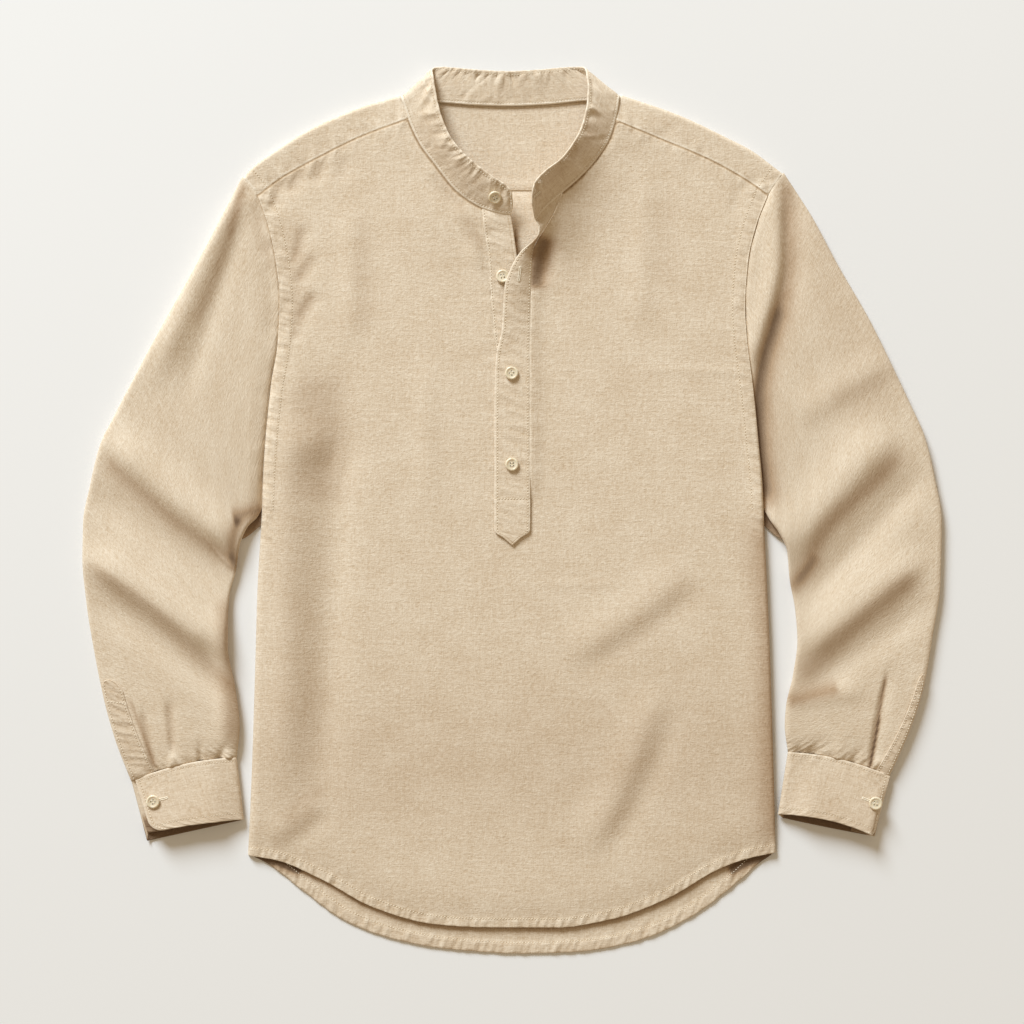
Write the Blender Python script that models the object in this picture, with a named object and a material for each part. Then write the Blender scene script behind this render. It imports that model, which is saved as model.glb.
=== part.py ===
"""Band-collar pullover shirt, lying face up on a flat surface.

Metres, +Z up out of the surface, +Y towards the collar, +X towards the wearer's left sleeve.
The underside of the back, the yoke, the sleeves and the cuffs rests on Z = 0. Each cut piece of
cloth is one wall: an open surface of its outer face, thickened inwards by a Solidify modifier.
"""
import math

import bmesh
import bpy
from mathutils import Matrix, Vector

# ---- driving dimensions ------------------------------------------------------------------
CLOTH = 0.0012            # wall of a single layer of linen with its surface slubs
DOUBLE = 0.0015           # wall of a placket or cuff, two layers
BAND = 0.0018             # wall of the collar band, two layers and an interlining
GAP = 0.0003              # space left between two pieces that are sewn or lie together
SEAM = 0.0011             # gap in plan between a sleeve and the body at the armhole

FRONT_LOFT = 0.0056       # height of the front's outer face over the surface
FRONT_LEAST = 0.0034      # the front dips no lower than this, just clear of the back
SIDE_ROLL = 0.0060        # width over which the front rolls down to its side edge
BACK_INSET = 0.0018       # the back's edge lies this far inside the front's rolled side
SLOT_FOOT_Y = 0.0043      # lower end of the front's slot, where both plackets are closed
YOKE_SEAM_Y = 0.2752      # seam between the back and the yoke
YOKE_TAPER = 0.953        # width of the yoke at that seam, as a share of its shoulder width
SHOULDER_FOLD = 0.0032    # radius of the yoke's fold along the shoulder
SLEEVE_LOFT = 0.0074      # height of a sleeve's upper layer
SLEEVE_ROLL = 0.0060      # width of the rounded edge of a sleeve
SLEEVE_LEAST = 0.0032     # the upper layer dips no lower than this, just clear of the lower one
CUFF_LOFT = 0.0064        # height of a cuff's upper layer
CUFF_ROLL = 0.0040        # width of the rounded edge of a cuff
CUFF_ROLL_STEP = 0.0012   # distance in from that edge to the grid's first line
CUFF_LAP = 0.0200         # length of a cuff's hidden end under its buttoned end
CUFF_END_INSETS = (0.0020, 0.0050)   # how far the buttoned end stops short, at seam and mouth

BUTTON_RADIUS = 0.0057    # an 18-line shirt button, 11.4 mm across
BUTTON_THICK = 0.0024
BUTTON_DISH = 0.0009      # depth of the dish that holds the four holes
HOLE_RADIUS = 0.0008
HOLE_SPREAD = 0.0013      # half the spacing of the four holes

# ---- outlines in plan, each row (x, y) ----------------------------------------------------
LEFT_ARMHOLE = [(-0.2150, 0.0000), (-0.2140, 0.0250), (-0.2118, 0.0593), (-0.2090, 0.0880),
                (-0.2062, 0.1120), (-0.2012, 0.1402), (-0.1987, 0.1780), (-0.2021, 0.2133),
                (-0.2090, 0.2451), (-0.2179, 0.2705)]
RIGHT_ARMHOLE = [(0.2164, 0.0000), (0.2150, 0.0250), (0.2118, 0.0560), (0.2085, 0.0880),
                 (0.2055, 0.1127), (0.2010, 0.1479), (0.1995, 0.1737), (0.2021, 0.2133),
                 (0.2094, 0.2451), (0.2193, 0.2709)]
LEFT_SIDE = [(-0.2270, -0.2963), (-0.2240, -0.2300), (-0.2223, -0.1806), (-0.2206, -0.1247),
             (-0.2190, -0.0700), (-0.2167, -0.0284), (-0.2150, 0.0000)]
RIGHT_SIDE = [(0.2266, -0.2938), (0.2250, -0.2300), (0.2236, -0.1806), (0.2215, -0.1161),
              (0.2192, -0.0636), (0.2176, -0.0284), (0.2164, 0.0000)]
FRONT_HEM = [(-0.2270, -0.2963), (-0.2021, -0.3005), (-0.1643, -0.3165), (-0.1178, -0.3414),
             (-0.0674, -0.3552), (-0.0237, -0.3580), (0.0387, -0.3582), (0.0860, -0.3509),
             (0.1324, -0.3337), (0.1797, -0.3070), (0.2047, -0.2984), (0.2266, -0.2938)]
BACK_HEM = [(-0.2235, -0.2963), (-0.2100, -0.3030), (-0.1800, -0.3259), (-0.1428, -0.3526),
            (-0.1018, -0.3681), (-0.0550, -0.3767), (0.0077, -0.3807), (0.0542, -0.3793),
            (0.1015, -0.3715), (0.1479, -0.3526), (0.1952, -0.3182), (0.2120, -0.3030),
            (0.2235, -0.2950)]
LEFT_SHOULDER_FOLD = [(-0.2305, 0.2855), (-0.2210, 0.2958), (-0.2012, 0.3100),
                      (-0.1720, 0.3277), (-0.1324, 0.3449), (-0.0960, 0.3560)]
RIGHT_SHOULDER_FOLD = [(0.2322, 0.2890), (0.2232, 0.2958), (0.2060, 0.3085),
                       (0.1875, 0.3182), (0.1419, 0.3397), (0.0929, 0.3566)]
# The front's shoulder seams start at the armhole and end at the collar.
LEFT_SHOULDER_SEAM = [(-0.2179, 0.2705), (-0.1995, 0.2847), (-0.1720, 0.3001),
                      (-0.1324, 0.3199)]
RIGHT_SHOULDER_SEAM = [(0.2193, 0.2709), (0.2038, 0.2821), (0.1720, 0.3001),
                       (0.1324, 0.3169)]
BACK_NECKLINE = [(-0.0925, 0.3520), (-0.0654, 0.3515), (-0.0026, 0.3470), (0.0645, 0.3530),
                 (0.0915, 0.3520)]
# The slot's sides start at its foot and end at the collar.
LEFT_SLOT = [(-0.0125, SLOT_FOOT_Y), (-0.0125, 0.1200), (-0.0160, 0.1548), (-0.0191, 0.1901),
             (-0.0206, 0.2184), (-0.0237, 0.2391)]
RIGHT_SLOT = [(0.0156, SLOT_FOOT_Y), (0.0158, 0.1300), (0.0165, 0.1840), (0.0172, 0.2035),
              (0.0182, 0.2180), (0.0192, 0.2238), (0.0209, 0.2282), (0.0235, 0.2332),
              (0.0267, 0.2381), (0.0305, 0.2437), (0.0348, 0.2507), (0.0392, 0.2597)]
# Collar stations that the front's neckline runs beside, from the shoulder seam to the slot.
LEFT_NECK_STATIONS = [8.4, 8.0, 7.0, 6.0, 5.0, 4.0, 3.0]
RIGHT_NECK_STATIONS = [23.8, 24.5, 25.0, 26.0, 27.0, 27.96]
NECK_CENTRE = (0.0, 0.3100)
LEFT_SLEEVE_OUTER = [(-0.2318, 0.2858), (-0.2505, 0.2485), (-0.2700, 0.2116),
                     (-0.3001, 0.1582), (-0.3199, 0.1221), (-0.3431, 0.0774),
                     (-0.3535, 0.0559), (-0.3624, 0.0206), (-0.3681, -0.0103),
                     (-0.3685, -0.0421), (-0.3651, -0.0808), (-0.3595, -0.1161),
                     (-0.3500, -0.1634), (-0.3406, -0.1969), (-0.3271, -0.2325)]
LEFT_SLEEVE_INNER = [(-0.2154, 0.0000), (-0.2190, -0.0065), (-0.2270, -0.0150),
                     (-0.2340, -0.0320), (-0.2370, -0.0525), (-0.2425, -0.0740),
                     (-0.2436, -0.0946), (-0.2435, -0.1180), (-0.2375, -0.1514),
                     (-0.2335, -0.1860), (-0.2363, -0.2124)]
RIGHT_SLEEVE_OUTER = [(0.2335, 0.2893), (0.2568, 0.2528), (0.2804, 0.2090),
                      (0.3062, 0.1643), (0.3298, 0.1165), (0.3420, 0.0906),
                      (0.3543, 0.0628), (0.3629, 0.0275), (0.3689, -0.0103),
                      (0.3678, -0.0636), (0.3612, -0.1075), (0.3543, -0.1479),
                      (0.3483, -0.1700), (0.3397, -0.1935), (0.3243, -0.2282)]
RIGHT_SLEEVE_INNER = [(0.2168, 0.0000), (0.2215, -0.0090), (0.2290, -0.0200),
                      (0.2360, -0.0353), (0.2384, -0.0600), (0.2430, -0.0860),
                      (0.2448, -0.1120), (0.2410, -0.1420), (0.2350, -0.1690),
                      (0.2340, -0.1850), (0.2368, -0.2078)]

# ---- collar band: a row for each station, from the button end round the back to the other end.
# Columns: x, y, z of the seam edge, then x, y, z of the top edge, all on the outer face.
COLLAR = [
    (-0.0012, 0.2534, 0.0096, 0.0003, 0.2628, 0.0135),
    (-0.0062, 0.2537, 0.0096, -0.0012, 0.2712, 0.0178),
    (-0.0138, 0.2552, 0.0095, -0.0060, 0.2766, 0.0192),
    (-0.0255, 0.2590, 0.0092, -0.0150, 0.2825, 0.0198),
    (-0.0335, 0.2632, 0.0092, -0.0225, 0.2878, 0.0198),
    (-0.0470, 0.2732, 0.0092, -0.0320, 0.2950, 0.0195),
    (-0.0650, 0.2954, 0.0088, -0.0447, 0.3070, 0.0185),
    (-0.0780, 0.3130, 0.0084, -0.0555, 0.3225, 0.0168),
    (-0.0868, 0.3310, 0.0082, -0.0628, 0.3425, 0.0148),
    (-0.0906, 0.3420, 0.0086, -0.0665, 0.3610, 0.0126),
    (-0.0932, 0.3500, 0.0088, -0.0682, 0.3720, 0.0108),
    (-0.0950, 0.3546, 0.0066, -0.0692, 0.3770, 0.0078),
    (-0.0940, 0.3548, 0.0034, -0.0680, 0.3794, 0.0042),
    (-0.0880, 0.3530, 0.0017, -0.0600, 0.3800, 0.0024),
    (-0.0600, 0.3508, 0.0016, -0.0420, 0.3786, 0.0030),
    (-0.0300, 0.3486, 0.0016, -0.0220, 0.3768, 0.0042),
    (-0.0026, 0.3478, 0.0016, -0.0026, 0.3760, 0.0046),
    (0.0300, 0.3492, 0.0016, 0.0220, 0.3772, 0.0042),
    (0.0600, 0.3522, 0.0016, 0.0400, 0.3790, 0.0030),
    (0.0850, 0.3538, 0.0017, 0.0560, 0.3802, 0.0024),
    (0.0908, 0.3552, 0.0034, 0.0628, 0.3798, 0.0046),
    (0.0922, 0.3552, 0.0066, 0.0640, 0.3775, 0.0086),
    (0.0912, 0.3510, 0.0090, 0.0648, 0.3715, 0.0128),
    (0.0902, 0.3430, 0.0092, 0.0658, 0.3620, 0.0160),
    (0.0878, 0.3320, 0.0092, 0.0650, 0.3480, 0.0188),
    (0.0832, 0.3180, 0.0094, 0.0610, 0.3290, 0.0222),
    (0.0716, 0.3000, 0.0102, 0.0530, 0.3120, 0.0258),
    (0.0578, 0.2848, 0.0114, 0.0415, 0.2970, 0.0290),
    (0.0428, 0.2716, 0.0128, 0.0280, 0.2862, 0.0320),
    (0.0300, 0.2598, 0.0146, 0.0200, 0.2765, 0.0340),
    (0.0240, 0.2528, 0.0158, 0.0182, 0.2690, 0.0336),
    (0.0206, 0.2480, 0.0166, 0.0180, 0.2600, 0.0290),
]

# ---- plackets: a row for each station, downwards from just below the collar --------------------
# Each starts at the collar's seam edge, between the stitched and the free edge's station there.
UNDER_STATIONS = (2.96, 0.10)
OVER_STATIONS = (28.03, 31.0)
COLLAR_GAP = 0.0005       # gap in plan between the band's seam edge and what is sewn to it
COLLAR_STEP = 0.0006      # what is sewn to the collar lies this far below the band's outer face
# Under placket. Columns: x of the stitched edge, x of the free edge, y, z of the outer face.
UNDER_PLACKET = [
    (-0.0232, 0.0006, 0.2391, 0.0078),
    (-0.0208, 0.0026, 0.2245, 0.0072),
    (-0.0194, 0.0046, 0.2100, 0.0066),
    (-0.0184, 0.0060, 0.1901, 0.0060),
    (-0.0154, 0.0090, 0.1548, 0.0056),
    (-0.0119, 0.0120, 0.1200, 0.0056),
    (-0.0119, 0.0126, 0.0600, 0.0056),
    (-0.0119, 0.0126, 0.0060, 0.0056),
]
# Over placket, lifted and twisted at its upper end. Columns: x, y of the free edge, its z,
# x, y of the stitched edge, its z, and the height of the arch between them.
OVER_PLACKET = [
    (0.0221, 0.2435, 0.0164, 0.0384, 0.2600, 0.0116, 0.0006),
    (0.0232, 0.2399, 0.0166, 0.0342, 0.2510, 0.0108, 0.0008),
    (0.0230, 0.2360, 0.0166, 0.0300, 0.2440, 0.0102, 0.0010),
    (0.0216, 0.2322, 0.0164, 0.0262, 0.2384, 0.0097, 0.0012),
    (0.0188, 0.2289, 0.0160, 0.0230, 0.2335, 0.0093, 0.0012),
    (0.0146, 0.2254, 0.0155, 0.0204, 0.2285, 0.0090, 0.0014),
    (0.0093, 0.2219, 0.0150, 0.0188, 0.2240, 0.0088, 0.0018),
    (0.0043, 0.2159, 0.0144, 0.0178, 0.2180, 0.0086, 0.0022),
    (0.0009, 0.2098, 0.0138, 0.0172, 0.2115, 0.0085, 0.0024),
    (-0.0026, 0.2021, 0.0130, 0.0168, 0.2035, 0.0083, 0.0024),
    (-0.0055, 0.1935, 0.0120, 0.0164, 0.1940, 0.0080, 0.0022),
    (-0.0065, 0.1840, 0.0110, 0.0161, 0.1840, 0.0078, 0.0018),
    (-0.0082, 0.1548, 0.0086, 0.0154, 0.1548, 0.0076, 0.0006),
    (-0.0132, 0.1299, 0.0076, 0.0152, 0.1299, 0.0076, 0.0),
    (-0.0144, 0.0920, 0.0076, 0.0152, 0.0920, 0.0076, 0.0),
    (-0.0144, 0.0500, 0.0076, 0.0152, 0.0500, 0.0076, 0.0),
    (-0.0144, 0.0097, 0.0078, 0.0152, 0.0097, 0.0078, 0.0),
    (-0.0146, -0.0172, 0.0078, 0.0152, -0.0172, 0.0078, 0.0),
    (-0.0020, -0.0290, 0.0078, 0.0026, -0.0290, 0.0078, 0.0),
]

# ---- height of the body's edge along the armhole and side. Columns: y, z --------------------
EDGE_HEIGHT = [(-0.3000, 0.0006), (-0.0100, 0.0006), (0.0050, 0.0014), (0.0250, 0.0032),
               (0.0500, 0.0045), (0.0900, 0.0054), (0.1500, 0.0060), (0.2900, 0.0062)]

# ---- large folds. Columns: x and y of one end, x and y of the other end, sideways bow of the
# line between them, height (a trough is negative), half width ------------------------------
FRONT_FOLDS = [
    (-0.1955, 0.1250, -0.1965, -0.1250, 0.0, 0.0026, 0.0130),
    (-0.1560, 0.1150, -0.1600, -0.1300, 0.004, -0.0020, 0.0160),
    (-0.2130, -0.2700, -0.1550, -0.2350, 0.0, 0.0020, 0.0120),
    (-0.1950, -0.2850, -0.1400, -0.2560, 0.0, -0.0014, 0.0120),
    (0.0360, -0.1260, 0.1500, -0.0420, -0.006, 0.0032, 0.0130),
    (0.0620, -0.1480, 0.1620, -0.0700, -0.006, -0.0018, 0.0130),
    (0.0520, -0.3080, 0.1560, -0.1500, 0.010, 0.0032, 0.0130),
    (0.0800, -0.3020, 0.1720, -0.1720, 0.010, -0.0020, 0.0130),
    (0.0440, 0.2420, 0.0310, 0.1900, 0.0, -0.0042, 0.0090),
    (0.1900, 0.1000, 0.1960, -0.2400, 0.0, 0.0014, 0.0200),
]
# Round rises near the collar and the open placket. Columns: x, y, height, radius.
FRONT_RISES = [
    (-0.0500, 0.2680, 0.0032, 0.0450),
    (-0.0920, 0.3350, 0.0022, 0.0350),
    (0.0920, 0.3350, 0.0024, 0.0350),
    (0.0640, 0.2880, 0.0030, 0.0320),
    (0.0300, 0.2540, 0.0066, 0.0260),
    (0.0150, 0.2080, 0.0026, 0.0200),
]
LEFT_SLEEVE_FOLDS = [
    (-0.2480, 0.2350, -0.3250, 0.0850, 0.004, 0.0034, 0.0120),
    (-0.2330, 0.2250, -0.2850, 0.1250, 0.006, -0.0024, 0.0150),
    (-0.3380, 0.0750, -0.2250, -0.0020, 0.0, 0.0050, 0.0150),
    (-0.3600, 0.0350, -0.2360, -0.0550, 0.0, -0.0064, 0.0110),
    (-0.3660, -0.0160, -0.2430, -0.1000, 0.0, 0.0082, 0.0130),
    (-0.3620, -0.0640, -0.2400, -0.1570, 0.0, -0.0052, 0.0120),
    (-0.3480, -0.1050, -0.2650, -0.1900, 0.0, 0.0022, 0.0160),
]
RIGHT_SLEEVE_FOLDS = [
    (0.2600, 0.2350, 0.3300, 0.0850, 0.0, 0.0024, 0.0160),
    (0.2400, 0.2250, 0.2480, 0.1350, 0.006, -0.0020, 0.0150),
    (0.3420, 0.0800, 0.2250, -0.0020, 0.0, 0.0050, 0.0150),
    (0.3580, 0.0380, 0.2420, -0.0640, 0.0, -0.0066, 0.0110),
    (0.3660, -0.0060, 0.2460, -0.0950, 0.0, 0.0084, 0.0130),
    (0.3640, -0.0640, 0.2420, -0.1650, 0.0, -0.0054, 0.0120),
    (0.3260, -0.1300, 0.3120, -0.2150, 0.0, 0.0016, 0.0090),
]

# ---- cuffs: where the corners lie in plan --------------------------------------------------
LEFT_CUFF = {
    "seam_outer": (-0.3270, -0.2331), "seam_inner": (-0.2363, -0.2130),
    "upper_outer": (-0.3132, -0.2765), "upper_inner": (-0.2303, -0.2650),
    "lower_outer": (-0.3138, -0.2838), "lower_inner": (-0.2335, -0.2662),
    "seam_bow": 0.0045, "mouth_bow": -0.0010,
}
RIGHT_CUFF = {
    "seam_outer": (0.3242, -0.2288), "seam_inner": (0.2368, -0.2084),
    "upper_outer": (0.3112, -0.2790), "upper_inner": (0.2284, -0.2606),
    "lower_outer": (0.3118, -0.2800), "lower_inner": (0.2330, -0.2640),
    "seam_bow": 0.0045, "mouth_bow": 0.0030,
}

# ---- buttons on cloth lying level. Columns: node name, x, y, z of the cloth's outer face ----
LEVEL_BUTTONS = [
    ("button_front_2", -0.0080, 0.2004, 0.0064),
    ("button_front_3", -0.0003, 0.1173, 0.0076),
    ("button_front_4", 0.0000, 0.0390, 0.0076),
    ("button_cuff_left", -0.3073, -0.2497, 0.0064),
    ("button_cuff_right", 0.3112, -0.2511, 0.0064),
]
COLLAR_BUTTON_STATION = 2.6
COLLAR_BUTTON_RISE = 0.52

# ---- number of cells in the grids ------------------------------------------------------------
COLLAR_RISE_CELLS = 4
SLEEVE_STATIONS = 36
SLEEVE_CROWDING = 0.35    # how much closer the stations stand at the elbow's folds
SLIT_SHARE = 0.82         # the sleeves' slits start this share of the way down
SLEEVE_MIDDLE_CELLS = 9
CUFF_STATIONS = 4
FOLD_STEPS = 6            # round the yoke's fold at the shoulder
BUTTON_SIDES = 16
HOLE_SIDES = 5


# ---- smooth lines through tables -----------------------------------------------------------
def slopes(keys, values):
    """Slope at each key of a curve that never overshoots its rows."""
    steps = [(values[i + 1] - values[i]) / (keys[i + 1] - keys[i]) for i in range(len(keys) - 1)]
    inner = [0.0 if a * b <= 0 else 2 * a * b / (a + b) for a, b in zip(steps, steps[1:])]
    return [steps[0]] + inner + [steps[-1]]


class Track:
    """Smooth values between table rows. The first column is the key."""

    def __init__(self, rows):
        self.keys = [row[0] for row in rows]
        self.columns = [[row[c] for row in rows] for c in range(1, len(rows[0]))]
        self.slopes = [slopes(self.keys, column) for column in self.columns]

    def at(self, key):
        key = min(max(key, self.keys[0]), self.keys[-1])
        i = 0
        while i < len(self.keys) - 2 and key > self.keys[i + 1]:
            i += 1
        span = self.keys[i + 1] - self.keys[i]
        t = (key - self.keys[i]) / span
        out = []
        for column, slope in zip(self.columns, self.slopes):
            a, b = column[i], column[i + 1]
            da, db = slope[i] * span, slope[i + 1] * span
            out.append(a * (1 + 2 * t) * (1 - t) ** 2 + da * t * (1 - t) ** 2
                       + b * t * t * (3 - 2 * t) + db * t * t * (t - 1))
        return out[0] if len(out) == 1 else out


class Path:
    """A smooth line in plan through (x, y) rows, read by the share of its length."""

    def __init__(self, points):
        lengths = [0.0]
        for a, b in zip(points, points[1:]):
            lengths.append(lengths[-1] + math.dist(a, b))
        self.track = Track([(s / lengths[-1], x, y) for s, (x, y) in zip(lengths, points)])

    def at(self, share):
        return Vector(self.track.at(share))

    def cut(self, shares):
        return [self.at(share) for share in shares]


def mix(a, b, t):
    return a + (b - a) * t


def ease(t):
    t = min(max(t, 0.0), 1.0)
    return t * t * (3 - 2 * t)


def evenly(count):
    return [i / count for i in range(count + 1)]


def rounded(distance, width):
    """Share of the full height at a distance in from a rolled edge: a quarter ellipse."""
    t = min(max(distance / width, 0.0), 1.0)
    return math.sqrt(1 - (1 - t) ** 2)


def folds(table, x, y):
    """Height that a table of folds adds at a point."""
    total = 0.0
    for x0, y0, x1, y1, bow, height, width in table:
        dx, dy = x1 - x0, y1 - y0
        length = math.hypot(dx, dy)
        along = ((x - x0) * dx + (y - y0) * dy) / length ** 2
        across = ((x - x0) * dy - (y - y0) * dx) / length - 4 * bow * along * (1 - along)
        fade = ease((along + 0.15) / 0.35) * ease((1.15 - along) / 0.35)
        total += height * fade * math.exp(-(across / width) ** 2)
    return total


def rises(table, x, y):
    """Height that a table of round rises adds at a point."""
    return sum(height * math.exp(-((x - x0) ** 2 + (y - y0) ** 2) / radius ** 2)
               for x0, y0, height, radius in table)


# ---- building solids -------------------------------------------------------------------------
def clear_scene():
    for obj in list(bpy.data.objects):
        bpy.data.objects.remove(obj)


def material(name, colour, roughness):
    made = bpy.data.materials.new(name)
    made.use_nodes = True
    shader = made.node_tree.nodes["Principled BSDF"]
    shader.inputs["Base Color"].default_value = (*colour, 1.0)
    shader.inputs["Roughness"].default_value = roughness
    shader.inputs["Metallic"].default_value = 0.0
    return made


def add_object(name, bm, finish):
    mesh = bpy.data.meshes.new(name)
    bm.to_mesh(mesh)
    bm.free()
    mesh.shade_smooth()
    mesh.set_sharp_from_angle(angle=math.radians(50))
    mesh.materials.append(finish)
    obj = bpy.data.objects.new(name, mesh)
    bpy.context.scene.collection.objects.link(obj)
    return obj


def wall(name, rows, finish, thickness, closed=False, skip=None):
    """A wall whose outer face runs through rows of points, thickened away from its normals.

    Seen from outside, columns run to the right and rows run up. A closed wall joins its last
    column to its first. Cells for which skip(row, column) is true are left out.
    """
    bm = bmesh.new()
    made = [[bm.verts.new(point) for point in row] for row in rows]
    across = len(rows[0])
    for r in range(len(rows) - 1):
        for c in range(across if closed else across - 1):
            if skip and skip(r, c):
                continue
            d = (c + 1) % across
            bm.faces.new((made[r][c], made[r][d], made[r + 1][d]))
            bm.faces.new((made[r][c], made[r + 1][d], made[r + 1][c]))
    loose = [vert for vert in bm.verts if not vert.link_faces]
    bmesh.ops.delete(bm, geom=loose, context="VERTS")
    obj = add_object(name, bm, finish)
    solid = obj.modifiers.new("wall", "SOLIDIFY")
    solid.thickness = thickness
    solid.offset = -1.0
    solid.use_even_offset = False
    return obj


def slab(name, outline, finish, thickness):
    """A level sheet on the surface with a given outline, listed anticlockwise."""
    bm = bmesh.new()
    face = bm.faces.new([bm.verts.new((x, y, 0.0)) for x, y in outline])
    face.normal_flip()
    raised = bmesh.ops.extrude_face_region(bm, geom=[face])["geom"]
    top = [item for item in raised if isinstance(item, bmesh.types.BMVert)]
    bmesh.ops.translate(bm, verts=top, vec=(0.0, 0.0, thickness))
    bmesh.ops.recalc_face_normals(bm, faces=bm.faces)
    return add_object(name, bm, finish)


def patch(bottom, top, left, right, across, up):
    """Rows of plan points that fill the area between four lines (a Coons patch)."""
    rows = []
    for v, a, b in zip(up, left, right):
        row = []
        for u, p, q in zip(across, bottom, top):
            corners = mix(mix(bottom[0], bottom[-1], u), mix(top[0], top[-1], u), v)
            row.append(mix(p, q, v) + mix(a, b, u) - corners)
        rows.append(row)
    return rows


# ---- collar band ----------------------------------------------------------------------------------
collar_track = Track([(i, *row) for i, row in enumerate(COLLAR)])


def collar_point(station, rise):
    """Point of the band's outer face: station along it, rise 0 at the seam and 1 at the top."""
    values = collar_track.at(station)
    seam = Vector(values[:3])
    top = Vector(values[3:])
    return mix(seam, top, rise)


def beside_collar(stations):
    """Points that run a gap's width outside the band's seam edge, a step lower."""
    line = []
    for station in stations:
        edge = collar_point(station, 0.0)
        out = (edge.xy - Vector(NECK_CENTRE)).normalized() * COLLAR_GAP
        line.append(Vector((*(edge.xy + out), edge.z - COLLAR_STEP)))
    return line


def beside_collar_plan(stations):
    return [tuple(point.xy) for point in beside_collar(stations)]


def make_collar(linen):
    last = len(COLLAR) - 1
    stations = [last * (1 - s) for s in evenly(last * 2)]
    rows = [[collar_point(station, rise) for station in stations]
            for rise in evenly(COLLAR_RISE_CELLS)]
    return wall("collar_band", rows, linen, BAND)


# ---- front -------------------------------------------------------------------------------------
HALF_COLUMNS = [0.0, 0.0032, 0.0105, 0.026, 0.062, 0.135, 0.235, 0.34, 0.45, 0.56, 0.67,
                0.77, 0.85, 0.91, 0.95, 0.98, 1.0]
CORNER_COLUMN = 8         # column of each half that meets the shoulder seam's inner end
UPPER_ROWS = [0.0, 0.09, 0.18, 0.27, 0.36, 0.45, 0.54, 0.62, 0.69, 0.75, 0.81, 0.86, 0.91,
              0.95, 0.98, 1.0]
LOWER_ROWS = [0.0, 0.012, 0.045, 0.10] + [0.10 + 0.90 * i / 12 for i in range(1, 13)]
MIDDLE_COLUMNS = 3
edge_height = Track(EDGE_HEIGHT)


HOLD_REACH = 0.0080       # how far from a seam the front is held at the seam's height
HOLD_BLEND = 0.0050       # spacing over which heights held by neighbouring points are blended


def held_points():
    """Points of the collar and the plackets that the front is sewn to and held up by."""
    points = beside_collar([mix(LEFT_NECK_STATIONS[0], UNDER_STATIONS[0], t)
                            for t in evenly(24)])
    points += beside_collar([mix(RIGHT_NECK_STATIONS[0], OVER_STATIONS[0], t)
                             for t in evenly(24)])
    for rows, left in ((UNDER_PLACKET, True), (OVER_PLACKET, False)):
        edge = [Vector((row[0], row[2], row[3]) if left else row[3:6]) for row in rows]
        edge = [point for point in edge if point.y > SLOT_FOOT_Y]
        top = points[24] if left else points[49]
        for a, b in zip([top] + edge, edge):
            steps = max(1, round((b - a).length / HOLD_BLEND))
            points += [mix(a, b, (i + 1) / steps) for i in range(steps)]
    return points


HELD = held_points()


def held_height(x, y, free):
    """Height of the front near its seams, where it would otherwise lie at the height free."""
    squares = [(point.x - x) ** 2 + (point.y - y) ** 2 for point in HELD]
    least = min(squares)
    weights = [math.exp((least - square) / HOLD_BLEND ** 2) for square in squares]
    held = sum(w * point.z for w, point in zip(weights, HELD)) / sum(weights)
    share = math.exp(-least / HOLD_REACH ** 2) * ease((y - SLOT_FOOT_Y) / 0.030)
    return mix(free, held, share)


def front_height(x, y, inset):
    """Height of the front's outer face, at a distance inset from its rolled side."""
    edge = edge_height.at(y)
    inner = FRONT_LOFT + folds(FRONT_FOLDS, x, y) + rises(FRONT_RISES, x, y)
    inner = held_height(x, y, max(inner, FRONT_LEAST))
    return mix(edge, inner, rounded(inset, SIDE_ROLL))


def upper_half(armhole, shoulder, neckline, slot):
    """Plan points of one upper half of the front, columns from the armhole to the slot."""
    corner = HALF_COLUMNS[CORNER_COLUMN]
    top = Path(shoulder).cut([u / corner for u in HALF_COLUMNS[:CORNER_COLUMN + 1]])
    top += Path(neckline).cut([(u - corner) / (1 - corner)
                               for u in HALF_COLUMNS[CORNER_COLUMN + 1:]])
    left = Path(armhole).cut(UPPER_ROWS)
    right = Path(slot + neckline[-1:]).cut(UPPER_ROWS)
    bottom = [mix(left[0], right[0], u) for u in HALF_COLUMNS]
    return patch(bottom, top, left, right, HALF_COLUMNS, UPPER_ROWS)


def shoulder_seams():
    """The two front shoulder seams, from the armhole to the collar."""
    return (LEFT_SHOULDER_SEAM + beside_collar_plan(LEFT_NECK_STATIONS[:1]),
            RIGHT_SHOULDER_SEAM + beside_collar_plan(RIGHT_NECK_STATIONS[:1]))


def front_rows():
    """Outer face of the front: rows from the hem up, and the first row beside the slot."""
    left_seam, right_seam = shoulder_seams()
    left = upper_half(LEFT_ARMHOLE, left_seam, beside_collar_plan(LEFT_NECK_STATIONS),
                      LEFT_SLOT)
    right = upper_half(RIGHT_ARMHOLE, right_seam, beside_collar_plan(RIGHT_NECK_STATIONS),
                       RIGHT_SLOT)
    middle = [[mix(a[-1], b[-1], i / MIDDLE_COLUMNS) for i in range(1, MIDDLE_COLUMNS)]
              for a, b in zip(left, right)]
    upper = [a + m + b[::-1] for a, m, b in zip(left, middle, right)]
    top = upper[0]
    width = top[-1].x - top[0].x
    across = [(point.x - top[0].x) / width for point in top]
    bottom = Path(FRONT_HEM).cut(across)
    lower = patch(bottom, top, Path(LEFT_SIDE).cut(LOWER_ROWS), Path(RIGHT_SIDE).cut(LOWER_ROWS),
                  across, LOWER_ROWS)
    rows = []
    for row in lower[:-1] + upper:
        raised = []
        for point in row:
            inset = min((point - row[0]).length, (point - row[-1]).length)
            raised.append(Vector((point.x, point.y, front_height(point.x, point.y, inset))))
        rows.append(raised)
    return rows, len(lower) - 1


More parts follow.
